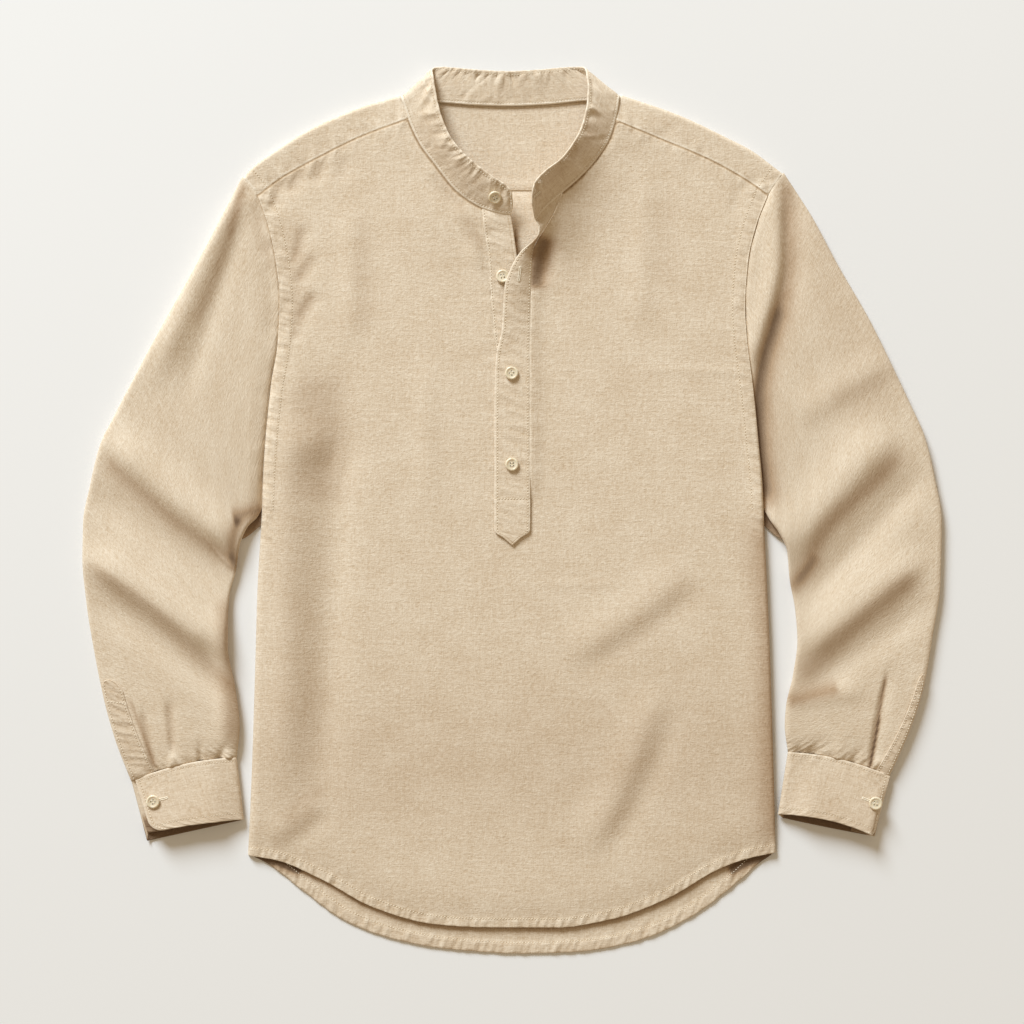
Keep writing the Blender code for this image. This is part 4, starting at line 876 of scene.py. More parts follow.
# ---- materials ----
class Nodes:
    """Short ways to add shader nodes to a material."""

    def __init__(self, name):
        self.material = bpy.data.materials.new(name)
        self.material.use_nodes = True
        self.tree = self.material.node_tree
        self.shader = self.tree.nodes["Principled BSDF"]

    def add(self, kind, settings=(), **inputs):
        node = self.tree.nodes.new(kind)
        for key, value in dict(settings).items():
            setattr(node, key, value)
        for key, value in inputs.items():
            socket = node.inputs[int(key[1:]) if key[1:].isdigit() else key]
            if isinstance(value, bpy.types.NodeSocket):
                self.tree.links.new(value, socket)
            else:
                socket.default_value = value
        return node

    def math(self, operation, a, b=0.0):
        return self.add("ShaderNodeMath", {"operation": operation}, _0=a, _1=b).outputs[0]

    def total(self, *weighted):
        """The sum of several values, each times its weight."""
        out = 0.0
        for value, weight in weighted:
            out = self.math("ADD", out, self.math("MULTIPLY", value, weight))
        return out

    def attribute(self, name, output="Vector"):
        return self.add("ShaderNodeAttribute", {"attribute_name": name}).outputs[output]

    def parts(self, vector):
        return self.add("ShaderNodeSeparateXYZ", {}, Vector=vector).outputs

    def noise(self, vector, scale=1.0, detail=2.0, rough=0.5, distortion=0.0):
        return self.add("ShaderNodeTexNoise", {}, Vector=vector, Scale=scale, Detail=detail,
                        Roughness=rough, Distortion=distortion).outputs["Fac"]

    def stretched(self, vector, scales, rotation=0.0):
        return self.add("ShaderNodeMapping", {}, Vector=vector, Scale=scales,
                        Rotation=(0.0, 0.0, rotation)).outputs[0]

    def ramp(self, factor, *stops):
        """Colours along a factor, given as positions and colours."""
        node = self.add("ShaderNodeValToRGB", {}, Fac=factor)
        elements = node.color_ramp.elements
        for element, (position, colour) in zip(elements, (stops[0], stops[-1])):
            element.position = position
            element.color = (*colour, 1.0)
        for position, colour in stops[1:-1]:
            elements.new(position).color = (*colour, 1.0)
        return node.outputs[0]

    def bump(self, height, strength, distance):
        relief = self.add("ShaderNodeBump", {}, Strength=strength, Distance=distance,
                          Height=height)
        self.link(relief.outputs[0], "Normal")

    def link(self, value, name):
        self.tree.links.new(value, self.shader.inputs[name])

    def finished(self, values):
        """The material, with its shader's constant values set."""
        for name, value in values.items():
            self.shader.inputs[name].default_value = value
        return self.material


def linen_material():
    """Linen with threads and slubs in both directions, creping, mottling, grooves along stitches
    and bars of puckers. Scales are per millimetre, since the weave's places are in millimetres.
    Painted shade, with its share in the cloth attribute, multiplies the colour; the grooves also
    darken the colour, which is painted shade, the seams' lines paint a shadow where their
    strength is above 0 and a highlight where it is below, and the edge attribute paints a
    highlight along every border."""
    n = Nodes("linen")
    place = n.attribute("cloth")
    painted_shade = n.parts(place)[2]
    warp = n.noise(n.stretched(place, (1.05, 0.24, 0.0)), 1.0, 2.0, 0.6, 0.3)
    weft = n.noise(n.stretched(place, (0.24, 1.05, 0.0)), 1.0, 2.0, 0.6, 0.3)
    slub = n.noise(n.stretched(place, (0.42, 0.040, 0.0)), 1.0, 1.0)
    cross_slub = n.noise(n.stretched(place, (0.035, 0.42, 0.0)), 1.0, 1.0)
    crepe = n.noise(n.stretched(place, (0.30, 0.36, 0.0)), 1.0, 3.0, 0.62, 0.9)
    mottle = n.noise(n.stretched(place, (0.026, 0.034, 0.0)), 1.0, 3.0, 0.55)
    # grooves along stitches darken the colour as painted shade, and the seams' lines paint a shadow
    # where their strength is above 0 and a highlight where it is below
    grooves_and_painted_lines = 0.0
    for key in ("seam_1", "seam_2", "seam_3"):
        across, _, shown = n.parts(n.attribute(key))
        groove = n.math("EXPONENT", n.math("MULTIPLY", n.math("POWER", across, 2.0), -3.0))
        grooves_and_painted_lines = n.math("ADD", grooves_and_painted_lines, n.math("MULTIPLY", groove, shown))
    over_first, over_second, _ = n.parts(n.attribute("pucker"))
    leaning = n.stretched(place, (1.0, 1.0, 0.0), 0.35)
    bars = n.total(*((n.math("SUBTRACT", n.noise(n.stretched(leaning, scales), 1.0, 0.0), 0.5),
                      strength) for scales, strength in (((0.20, 0.055, 0.0), over_first),
                                                         ((0.055, 0.20, 0.0), over_second))))
    threads = n.total((warp, 0.5), (weft, 0.5))
    slubs = n.total((slub, 0.5), (cross_slub, 0.5))
    # the edge attribute lightens every border: a painted highlight
    tone = n.total((threads, 0.60), (slubs, 0.22), (crepe, 0.20), (mottle, 0.16), (bars, 0.30),
                   (grooves_and_painted_lines, -0.10), (n.attribute("edge", "Fac"), 0.06))
    colour = n.ramp(tone, (0.10, (0.250, 0.150, 0.075)), (0.40, (0.560, 0.410, 0.255)),
                    (0.74, (0.850, 0.740, 0.590)))
    # colour of painted shade by its share: white, then a brown, then a near black brown; it
    # multiplies the cloth's colour
    painted_shade_colour = n.ramp(painted_shade, (0.0, (1.0, 1.0, 1.0)), (0.6, (0.630, 0.530, 0.440)),
                       (1.0, (0.150, 0.095, 0.055)))
    shaded_colour = n.add("ShaderNodeMix", {"data_type": "RGBA", "blend_type": "MULTIPLY"}, _0=1.0,
                 _6=colour, _7=painted_shade_colour)
    n.link(shaded_colour.outputs[2], "Base Color")
    n.bump(n.total((crepe, 0.38), (threads, 0.32), (slubs, 0.20), (grooves_and_painted_lines, -0.12), (bars, 2.2)),
           1.0, 0.001)
    n.link(n.math("ADD", n.math("MULTIPLY", threads, 0.2), 0.64), "Roughness")
    return n.finished({"Specular IOR Level": 0.35, "Sheen Weight": 0.08, "Sheen Roughness": 0.6})


def thread_material():
    """Pale sewing thread with a fine twist."""
    n = Nodes("thread")
    twist = n.noise(n.add("ShaderNodeTexCoord").outputs["Object"], 2500.0, 2.0, 0.6)
    n.link(n.ramp(twist, (0.3, (0.78, 0.67, 0.50)), (0.7, (0.95, 0.88, 0.74))), "Base Color")
    n.bump(twist, 0.4, 0.0001)
    return n.finished({"Roughness": 0.6, "Sheen Weight": 0.2})


def horn_material():
    """Streaked pale horn of the buttons."""
    n = Nodes("horn")
    place = n.add("ShaderNodeTexCoord").outputs["Object"]
    streak = n.noise(n.stretched(place, (260.0, 90.0, 200.0), 0.6), 1.0, 3.0, 0.55, 0.8)
    cloud = n.noise(place, 140.0)
    blend = n.total((streak, 0.7), (cloud, 0.3))
    n.link(n.ramp(blend, (0.32, (0.66, 0.54, 0.36)), (0.62, (0.84, 0.75, 0.57))), "Base Color")
    n.link(n.math("ADD", n.math("MULTIPLY", cloud, 0.14), 0.26), "Roughness")
    return n.finished({"Subsurface Weight": 0.15, "Subsurface Radius": (0.002, 0.0015, 0.001),
                       "Subsurface Scale": 1.0, "Coat Weight": 0.25, "Coat Roughness": 0.25})


def floor_material():
    """A matt, nearly even white floor."""
    n = Nodes("floor")
    cloud = n.noise(n.add("ShaderNodeTexCoord").outputs["Object"], 1.4)
    n.link(n.ramp(cloud, (0.0, (0.845, 0.845, 0.840)), (1.0, (0.865, 0.862, 0.856))),
           "Base Color")
    return n.finished({"Roughness": 0.95, "Specular IOR Level": 0.1})


LINEN = linen_material()
THREAD = thread_material()
HORN = horn_material()


# ---- stitches ----
# sections of one stitch: share of its length, thickness, and height, which dips at both ends
STITCH = ((0.0, 0.45, -0.9), (0.16, 0.9, 0.15), (0.5, 1.0, 0.55), (0.84, 0.9, 0.15),
          (1.0, 0.45, -0.9))
RAY_START = 0.2    # above everything


def at_distance(distances, keys, rows):
    """The place on each row of points where its key reaches a distance."""
    return np.array([[np.interp(distance, key, row[:, k]) for k in range(3)]
                     for distance, key, row in zip(distances, keys, rows)])


def tree_of(obj):
    mesh = obj.data
    return BVHTree.FromPolygons([v.co for v in mesh.vertices],
                                [p.vertices for p in mesh.polygons])


def top_of(tree, x, y):
    """The highest place of a piece over a point in plan, and the normal there."""
    hit, normal, _, _ = tree.ray_cast(Vector((x, y, RAY_START)), Vector((0, 0, -1)))
    return (None, None) if hit is None else (np.array(hit), np.array(normal))


class Sewing:
    """Threads that lie on one piece, joined into one mesh."""

    PITCH = 0.0025
    FILL = 0.68     # share of the pitch that a stitch shows
    SIDES = 5

    def __init__(self, name):
        self.name = name
        self.places, self.faces = [], []

    def strand(self, start, end, up, radius, sink=1.0):
        """One short thread that dips into the cloth at both ends."""
        line = end - start
        side = unit(np.cross(line, up))
        lift = unit(np.cross(side, line))
        base, sides = len(self.places), self.SIDES
        for share, size, height in STITCH:
            height = height * (sink if height < 0 else 1)
            centre = start + line * share + lift * radius * height
            for k in range(sides):
                angle = math.tau * k / sides
                self.places.append(centre + (side * math.cos(angle) + lift * math.sin(angle))
                                   * radius * size)
        for ring in range(base, base + sides * (len(STITCH) - 1), sides):
            for k in range(sides):
                a, b = ring + k, ring + (k + 1) % sides
                self.faces.append((a, b, b + sides, a + sides))

    def line(self, places, normals, radius=0.00031):
        """A row of stitches along a line of places on the cloth."""
        places, normals = np.asarray(places), np.asarray(normals)
        lengths = run(places)
        if lengths[-1] < self.PITCH:
            return
        count = max(1, round(lengths[-1] / self.PITCH))
        for i in range(count):
            ends = np.array([i + (1 - self.FILL) / 2, i + (1 + self.FILL) / 2]) / count
            ends = ends * lengths[-1]
            a, b = at_distance(ends, [lengths] * 2, [places] * 2)
            up = at_distance([ends.mean()], [lengths], [normals])[0]
            self.strand(a, b, unit(up), radius)

    def row_line(self, points, normals, row, **settings):
        """Stitches along a row of a grid, which may lie between two of them."""
        low = min(int(row), len(points) - 2)
        self.line(mix(points[low], points[low + 1], row - low),
                  mix(normals[low], normals[low + 1], row - low), **settings)

    def plan_line(self, tree, plan):
        """Stitches along a line in plan, laid on the top of a piece."""
        found = [top_of(tree, x, y) for x, y in plan] + [(None, None)]
        places, normals = [], []
        for hit, normal in found:
            if hit is not None:
                places.append(hit)
                normals.append(normal)
                continue
            if len(places) > 2:
                self.line(places, normals)
            places, normals = [], []

    def make(self):
        obj = mesh_object(self.name, np.array(self.places).tolist(), self.faces, THREAD)
        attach(obj, "root")
        return obj


def band_sewing(name, obj, lines):
    """Stitches on a piece along seams, each at a distance to the seam's left."""
    sew = Sewing(name)
    tree = tree_of(obj)
    for key, distance in lines:
        sew.plan_line(tree, SEAMS[key].beside(distance))
    return sew


def finish_cloth(obj, node, sewing=None, others=()):
    """Attaches a cloth piece to the root, hides the node of the solids that it stands for, and
    makes what is sewn on it.
    """
    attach(obj, "root")
    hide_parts(node)
    made = [sewing.make()] if sewing else list(others)


# ---- front ----
CORNER = 0.45       # share of the half front's top that its shoulder seam takes
SLOT_CELLS = 9
CREASE_INSET = 0.002         # creases set in over this distance from the front's side edges
FRONT_SEAM_SHADOWS = (4.0, 0.0008)  # strength of the painted shadow lines beside the front's seams, and distance
YOKE_SEAM_HIGHLIGHTS = (-1.3, 0.0006)  # and of the painted highlight lines beside the yoke's
# columns of half the front, and its rows above and below the slot's foot, as shares
HALF_STOPS = spread([0.0, 0.0016, 0.0045, 0.0090, 0.0155, 0.0230, 0.0320, CORNER, 0.96, 0.985,
                     1.0], 0.0125)
UPPER_STOPS = spread([0.0, 0.93, 0.955, 0.975, 0.99, 1.0], 0.0115)
LOWER_STOPS = spread([0.0, 0.0012, 0.0040, 0.0090, 0.0150, 0.0200, 0.0240, 0.0290, 0.0350, 1.0],
                     0.0098)
# ripples beside the front's seams: seam, seed, spacing, height, reach, and how wide a strip along
# the seam stays flat
FRONT_RIPPLES = [
    ("left_armhole", 1, 0.0120, 0.00060, 0.012, None),
    ("right_armhole", 2, 0.0120, 0.00045, 0.012, None),
    ("left_shoulder", 3, 0.0100, 0.00055, 0.012, None),
    ("right_shoulder", 4, 0.0110, 0.00045, 0.012, None),
    ("left_neck", 5, 0.0105, 0.00045, 0.011, 0.0030),
    ("right_neck", 6, 0.0105, 0.00045, 0.011, 0.0030),
    ("left_slot", 7, 0.0105, 0.00045, 0.011, 0.0030),
    ("right_slot", 8, 0.0105, 0.00045, 0.011, 0.0030),
    ("front_hem", 9, 0.0120, 0.00040, 0.014, None),
]
FRONT_BANDS = [("left_armhole", ARM_BAND, 0.00045), ("right_armhole", ARM_BAND, 0.00045),
               ("front_hem", HEM_BAND, 0.00040)]
# puckers: seam, thread that they cross, width of the band (negative to the seam's right),
# strength in it and past it, and reach
FRONT_PUCKERS = [
    ("left_armhole", 1, -ARM_BAND, 0.42, 0.16, 0.008),
    ("right_armhole", 1, ARM_BAND, 0.30, 0.10, 0.007),
    ("front_hem", 0, HEM_BAND, 0.75, 0.15, 0.005),
    ("left_shoulder", 0, -PLAIN_EDGE, 0.50, 0.50, 0.009),
    ("right_shoulder", 0, PLAIN_EDGE, 0.40, 0.40, 0.009),
    ("left_neck", 0, -PLAIN_EDGE, 0.20, 0.20, 0.007),
    ("right_neck", 0, PLAIN_EDGE, 0.20, 0.20, 0.007),
    ("left_slot", 1, PLAIN_EDGE, 0.20, 0.20, 0.006),
    ("right_slot", 1, -PLAIN_EDGE, 0.20, 0.20, 0.006),
]
YOKE_PUCKERS = [
    ("left_shoulder", 0, PLAIN_EDGE, 0.60, 0.60, 0.010),
    ("right_shoulder", 0, -PLAIN_EDGE, 0.45, 0.45, 0.010),
    ("left_end", 1, -ARM_BAND, 0.30, 0.10, 0.008),
    ("right_end", 1, ARM_BAND, 0.30, 0.10, 0.008),
]


def upper_half(armhole, shoulder, neckline, slot):
    """Plan points of one upper half of the front, columns from the armhole to the slot."""
    over = HALF_STOPS[HALF_STOPS <= CORNER + 1e-9] / CORNER
    beside = (HALF_STOPS[HALF_STOPS > CORNER + 1e-9] - CORNER) / (1 - CORNER)
    top = np.vstack([Path(shoulder).at(over), Path(neckline).at(beside)])
    left = Path(armhole).at(UPPER_STOPS)
    right = Path(np.vstack([slot, neckline[-1:]])).at(UPPER_STOPS)
    bottom = mix(left[0], right[0], HALF_STOPS[:, None])
    return patch(bottom, top, left, right, HALF_STOPS, UPPER_STOPS)


def front_plan():
    """Plan points of the front, and the first row beside the slot."""
    left = upper_half(LEFT_ARMHOLE, LEFT_FRONT_SEAM, LEFT_NECKLINE, LEFT_SLOT)
    right = upper_half(RIGHT_ARMHOLE, RIGHT_FRONT_SEAM, RIGHT_NECKLINE, RIGHT_SLOT)
    shares = np.linspace(0, 1, SLOT_CELLS + 1)[1:-1]
    middle = mix(left[:, -1:], right[:, -1:], shares[None, :, None])
    upper = np.concatenate([left, middle, right[:, ::-1]], axis=1)
    top = upper[0]
    across = (top[:, 0] - top[0, 0]) / (top[-1, 0] - top[0, 0])
    lower = patch(Path(FRONT_HEM).at(across), top, Path(LEFT_SIDE).at(LOWER_STOPS),
                  Path(RIGHT_SIDE).at(LOWER_STOPS), across, LOWER_STOPS)
    return np.concatenate([lower[:-1], upper]), len(lower) - 1


def front_relief(x, y):
    """What creases, seams and the hem add to the front's height."""
    total = folds(FRONT_CREASES, x, y)
    for key, seed, spacing, height, reach, flat in FRONT_RIPPLES:
        total += seam_ripples(x, y, SEAMS[key], seed, spacing, height, reach)
        if flat:
            total *= 1 - nearness(x, y, SEAMS[key], flat)
    for key, width, height in FRONT_BANDS:
        total += band(x, y, SEAMS[key], width, height)
    return total


def make_front():
    plan, slot_row = front_plan()
    x, y = plan[..., 0], plan[..., 1]
    inset = np.minimum(np.linalg.norm(plan - plan[:, :1], axis=-1),
                       np.linalg.norm(plan - plan[:, -1:], axis=-1))
    z = front_height(x, y, inset) + front_relief(x, y) * ease(inset / CREASE_INSET)
    points = np.dstack([plan, z])
    skip = np.zeros((len(points) - 1, points.shape[1] - 1), bool)
    first = len(HALF_STOPS) - 1
    skip[slot_row:, first:first + SLOT_CELLS] = True
    lined = [SEAMS[key] for key in ("left_neck", "right_neck", "left_shoulder",
                                    "right_shoulder")]
    obj = shell("front_cloth", points, CLOTH, {
        "cloth": cloth_field(x, y, painted_shade_share(FRONT_PAINTED_SHADE, x, y)),
        "seam_1": either(seam_field(x, y, SEAMS["left_armhole"], -ARM_BAND),
                         seam_field(x, y, SEAMS["right_armhole"], ARM_BAND)),
        "seam_2": seam_field(x, y, SEAMS["front_hem"], HEM_BAND),
        "seam_3": painted_seam_lines(x, y, lined, *FRONT_SEAM_SHADOWS),
        "pucker": seam_puckers(x, y, [(SEAMS[key], *row) for key, *row in FRONT_PUCKERS]),
    }, skip=skip)
    sew = band_sewing("stitches_front", obj, [("left_armhole", -ARM_BAND),
                                              ("right_armhole", ARM_BAND),
                                              ("front_hem", HEM_BAND)])
    finish_cloth(obj, "front", sewing=sew)


# ---- back and yoke ----
BACK_COLUMNS = 260
BACK_ROWS = np.concatenate([
    spread([0.0, 0.0010, 0.0030, 0.0070, 0.0100, 0.0120, 0.0145, 0.0180], 0.004),
    spread([0.022, 0.10], 0.006), spread([0.12, 1.0], 0.022)])
BACK_LEAST = 0.0010       # thickness of the back
BACK_HEM_STEP = 0.0006    # and of its hem's second layer
BACK_RIPPLES = (22, 0.012, 0.0005, 0.014)    # seed, spacing, height and reach, along the hem
BACK_GAP = 0.0002         # from the back to the yoke, in plan
YOKE_SEAM_STEP = 0.0008   # how much thicker the yoke is along its seam with the back,
YOKE_STEP_WIDTH = 0.004   # and over what width
YOKE_GAP = 0.0003         # from the front's shoulder seam to the yoke, in plan
YOKE_SHARES = 56          # columns of the yoke over one shoulder
NECK_COLUMNS = 40         # and at the back of the neck
FLAT_ROWS = 12            # rows on the floor
FOLD_ROWS = 10            # rows round the shoulder fold
SEAM_ROWS = 9             # and from there to the front's shoulder seam
YOKE_WEAVE_TURN = 0.62    # sum of y under and over the fold, so that the weave runs on
YOKE_RELIEF_Z = 0.002     # creases start above this height


def make_back():
    sides = [[(x + shift, y) for x, y in side + armhole[1:]] for side, armhole, shift in
             ((LEFT_SIDE, LEFT_ARMHOLE, BACK_INSET), (RIGHT_SIDE, RIGHT_ARMHOLE, -BACK_INSET))]
    for side, hem_end in zip(sides, (BACK_HEM[0], BACK_HEM[-1])):
        side[0] = hem_end
    across = np.linspace(0, 1, BACK_COLUMNS)
    top_y = YOKE_SEAM_Y - BACK_GAP
    top = np.column_stack([mix(sides[0][-1][0], sides[1][-1][0], across),
                           np.full(len(across), top_y)])
    left, right = [Path(side[:-1] + [(side[-1][0], top_y)]).at(BACK_ROWS) for side in sides]
    plan = patch(Path(BACK_HEM).at(across), top, left, right, across, BACK_ROWS)[:, ::-1]
    x, y = plan[..., 0], plan[..., 1]
    seam = SEAMS["back_hem"]
    depth = BACK_LEAST + band(x, y, seam, BACK_BAND, BACK_HEM_STEP)
    depth += np.abs(seam_ripples(x, y, seam, *BACK_RIPPLES))
    obj = shell("back_cloth", np.dstack([plan, np.zeros_like(x)]), depth, {
        "cloth": cloth_field(x, y, painted_shade_share(BACK_PAINTED_SHADE, x, y)),
        "seam_1": seam_field(x, y, seam, BACK_BAND),
        "pucker": seam_puckers(x, y, [(seam, 0, BACK_BAND, 0.6, 0.3, 0.006)]),
    })
    sew = band_sewing("stitches_back", obj, [("back_hem", BACK_BAND)])
    finish_cloth(obj, "back", sewing=sew)


def yoke_columns(fold, seam):
    """Sections of the yoke: along the surface, round the shoulder fold, to the front's seam."""
    out = unit(fold - seam)
    turn = fold - out * SHOULDER_FOLD
    base = np.column_stack([fold[:, 0] * YOKE_TAPER, np.full(len(fold), YOKE_SEAM_Y)])
    height = front_height(seam[:, 0], seam[:, 1], np.full(len(seam), SIDE_ROLL))
    flat = np.zeros(len(fold))
    rows = [np.column_stack([mix(base, turn, t), flat]) for t in np.linspace(0, 1, FLAT_ROWS)]
    for angle in np.linspace(0, math.pi, FOLD_ROWS + 2)[1:-1]:
        reach = turn + out * SHOULDER_FOLD * math.sin(angle)
        rows.append(np.column_stack([reach, flat + SHOULDER_FOLD * (1 - math.cos(angle))]))
    for t in np.linspace(0, 1, SEAM_ROWS):
        rows.append(np.column_stack([mix(turn, seam, t), mix(2 * SHOULDER_FOLD, height, t)]))
    return np.array(rows)


def make_yoke():
    shares = np.linspace(0, 1, YOKE_SHARES)
    parts = []
    for shoulder, seam_line, order in ((LEFT_SHOULDER_FOLD, LEFT_FRONT_SEAM, shares),
                                       (RIGHT_SHOULDER_FOLD, RIGHT_FRONT_SEAM, shares[::-1])):
        fold = Path(shoulder).at(order)
        seam = Path(seam_line).at(order)
        parts.append(yoke_columns(fold, seam + unit(fold - seam) * YOKE_GAP))
    edge = Path(BACK_NECKLINE).at(np.linspace(0, 1, NECK_COLUMNS + 2)[1:-1])
    base = np.column_stack([edge[:, 0], np.full(len(edge), YOKE_SEAM_Y)])
    neck = [np.column_stack([mix(base, edge, t), np.zeros(len(edge))])
            for t in np.linspace(0, 1, FLAT_ROWS)]
    neck += [neck[-1]] * (len(parts[0]) - len(neck))
    points = np.concatenate([parts[0], np.array(neck), parts[1]], axis=1)[:, ::-1]
    upper = points[FLAT_ROWS + FOLD_ROWS:]
    relief = front_relief(upper[..., 0], upper[..., 1])
    upper[..., 2] += relief * (upper[..., 2] > YOKE_RELIEF_Z)
    rows, columns = points.shape[:2]
    skip = np.zeros((rows - 1, columns - 1), bool)
    skip[FLAT_ROWS - 1:, YOKE_SHARES - 1:YOKE_SHARES + NECK_COLUMNS] = True
    x, y = points[..., 0], points[..., 1]
    folded = np.arange(rows)[:, None] > FLAT_ROWS + 2
    lined = [SEAMS[key] for key, *_ in YOKE_PUCKERS]
    depth = CLOTH + YOKE_SEAM_STEP * (1 - ease((y - YOKE_SEAM_Y) / YOKE_STEP_WIDTH)) * ~folded
    ends = either(seam_field(x, y, SEAMS["left_end"], -ARM_BAND),
                  seam_field(x, y, SEAMS["right_end"], ARM_BAND))
    puckers = seam_puckers(x, y, [(SEAMS[key], *row) for key, *row in YOKE_PUCKERS])
    obj = shell("yoke_cloth", points, depth, {
        "cloth": cloth_field(x, np.where(folded, YOKE_WEAVE_TURN - y, y)),
        "seam_2": ends * folded[..., None],
        "seam_3": painted_seam_lines(x, y, lined, *YOKE_SEAM_HIGHLIGHTS) * folded[..., None],
        "pucker": puckers * folded[..., None],
    }, skip=skip)
    sew = band_sewing("stitches_yoke", obj, [("left_end", -ARM_BAND), ("right_end", ARM_BAND)])
    finish_cloth(obj, "yoke",
                 sewing=sew)


# ---- collar band ----
COLLAR_SEAM_STITCH = 0.0020   # from the collar's seam to its stitches
COLLAR_TOP_STITCH = 0.0022    # and from its top edge
COLLAR_FLAT_EDGE = 0.0050     # along both edges the ripples are lower
COLLAR_COLUMNS = 420
COLLAR_ROWS = spread([0.0, 0.03, 0.08, 0.14, 0.86, 0.92, 0.97, 1.0], 0.050)
# ripples from the top edge and from the seam: seed, spacing, height, reach and lean
COLLAR_TOP_RIPPLES = (41, 0.0085, 0.00210, 0.014, 0.20)
COLLAR_SEAM_RIPPLES = (42, 0.0100, 0.00085, 0.010, -0.3)
COLLAR_PUCKER_REACH = 0.018   # how far down from the top edge the puckers fade
COLLAR_HIGHLIGHT_LINE = 0.0005          # from the collar's seam to the painted highlight line beside it
SEAM_THREAD = 0.00022         # radius of the thread along its seam and its top edge
TOP_THREAD = 0.00028


def make_collar():
    values = collar_track.at((len(COLLAR) - 1) * (1 - np.linspace(0, 1, COLLAR_COLUMNS)))
    seam, top = values[:, :3], values[:, 3:]
    points = mix(seam[None], top[None], COLLAR_ROWS[:, None, None])
    height = np.linalg.norm(top - seam, axis=1)
    up = COLLAR_ROWS[:, None] * height[None]
    down = height[None] - up
    along = np.broadcast_to(run(seam), up.shape)
    length = along[0, -1]
    relief = ripple_rows(along, down, length, *COLLAR_TOP_RIPPLES)
    relief += ripple_rows(along, up, length, *COLLAR_SEAM_RIPPLES)
    relief *= ease(up / COLLAR_FLAT_EDGE) * ease(down / COLLAR_FLAT_EDGE)
    points = points + grid_normals(points) * relief[..., None]
    normals = grid_normals(points)
    obj = shell("collar_band_cloth", points, BAND, {
        "cloth": cloth_field(along, up,
                             painted_shade_share(COLLAR_PAINTED_SHADE, points[..., 0], points[..., 1])),
        "pucker": pucker_field(0.80 - 0.60 * ease(down / COLLAR_PUCKER_REACH), 0.0, up.shape),
        "seam_1": stitch_field(up - COLLAR_SEAM_STITCH, along, 1.0),
        "seam_2": stitch_field(down - COLLAR_TOP_STITCH, along, 1.0),
        # a painted highlight line just above the collar's seam
        "seam_3": stitch_field((up - COLLAR_HIGHLIGHT_LINE) * SEAM_LINE_SHARPNESS, along, -1.8),
    }, rim=5)
    sew = Sewing("stitches_collar")
    columns = points.transpose(1, 0, 2)
    for distances, row, radius in (
            (np.full(len(columns), COLLAR_SEAM_STITCH), 1, SEAM_THREAD),
            (height - COLLAR_TOP_STITCH, len(COLLAR_ROWS) - 3, TOP_THREAD)):
        line = at_distance(distances, up.T, columns)
        sew.line(line, normals[row], radius=radius)
        sew.line(line - normals[row] * BAND, -normals[row], radius=radius)
    finish_cloth(obj, "collar_band",
                 sewing=sew)


# ---- plackets ----
UNDER_SIZE = (110, 11)        # rows and columns of the under placket
OVER_SIZE = (190, 15)         # and of the over placket
CROSS_STITCH_Y = 0.0097       # the stitches across the placket above its pointed end
CROSS_STITCH_ENDS = (-0.0125, 0.0135)
CROSS_REACH = 0.01            # their groove shows within this distance
# from a placket's first and last edge to its stitches: sewn and free edge of the under placket,
# free and sewn edge of the over placket
UNDER_STITCHES = (0.0012, 0.0020)
OVER_STITCHES = (0.0020, 0.0016)
OVER_STITCH_START = 0.08      # shares of the over placket's length where its stitches start and
OVER_STITCH_ENDS = (0.72, 0.80)    # where they end along each edge
STRIP_STITCH = 0.0016         # from both edges of the strips at the sleeves' slits
# ripples of the plackets: seed, spacing, height, reach and lean
UNDER_RIPPLES = (51, 0.009, 0.0004, 0.012, 0.1)
OVER_RIPPLES = (52, 0.010, 0.00025, 0.010)
LOOSE_Y = 0.2250              # above it the under placket's ripples grow,
LOOSE_FADE = 0.0200           # over this distance,
LOOSE_GAIN = 2.5              # by this many times their height
CALM_TOP = 0.055              # the over placket has none on this much of its top,
CALM_FADE = 0.02              # and they come in over this distance


def strip_fields(points, first, last, painted_shade=0.0, pucker=0.30):
    """Weave and edge stitches of a long strip whose columns run across it."""
    width = np.linalg.norm(np.diff(points, axis=1), axis=2)
    across = np.concatenate([np.zeros((len(points), 1)), np.cumsum(width, axis=1)], axis=1)
    along = np.broadcast_to(run(points.mean(1))[:, None], across.shape)
    fields = {"cloth": cloth_field(across, along, painted_shade),
              "pucker": pucker_field(0.0, pucker, across.shape),
              "seam_1": stitch_field(across - first, along, 1.0),
              "seam_2": stitch_field(across[:, -1:] - last - across, along, 1.0)}
    return fields, across, along


def sew_columns(sew, points, across, distance, start=0.0, end=1.0, from_last=False):
    """Stitches at a distance from a strip's first or last edge."""
    distances = across[:, -1] - distance if from_last else np.full(len(points), distance)
    last = len(points) - 1
    keep = slice(round(start * last), round(end * last) + 1)
    sew.line(at_distance(distances, across, points)[keep],
             grid_normals(points)[keep, len(points[0]) // 2])


def placket_points(edges, stations):
    """Points between a placket's two edges, running on to their stations on the collar."""
    top = beside_collar(stations)
    return np.concatenate([edges, mix(edges[-1], top, 0.5)[None], top[None]])


def make_under_placket():
    steps = np.linspace(0, len(UNDER_PLACKET) - 1, UNDER_SIZE[0])
    shares = np.linspace(0, 1, UNDER_SIZE[1])
    rows = row_track(UNDER_PLACKET[::-1]).at(steps)
    x = mix(rows[:, :1], rows[:, 1:2], shares[None])
    y, z = np.broadcast_to(rows[:, 2:3], x.shape), np.broadcast_to(rows[:, 3:4], x.shape)
    points = placket_points(np.dstack([x, y, z]), mix(*UNDER_STATIONS, shares))
    fields, across, along = strip_fields(points, *UNDER_STITCHES)
    relief = ripple_rows(along, across, along.max(), *UNDER_RIPPLES)
    loose = ease((points[..., 1] - LOOSE_Y) / LOOSE_FADE)
    points[..., 2] += relief * (1 + LOOSE_GAIN * loose)
    obj = shell("placket_under_cloth", points, DOUBLE, fields)
    sew = Sewing("stitches_placket_under")
    sew_columns(sew, points, across, UNDER_STITCHES[0])
    finish_cloth(obj, "placket_under",
                 sewing=sew)


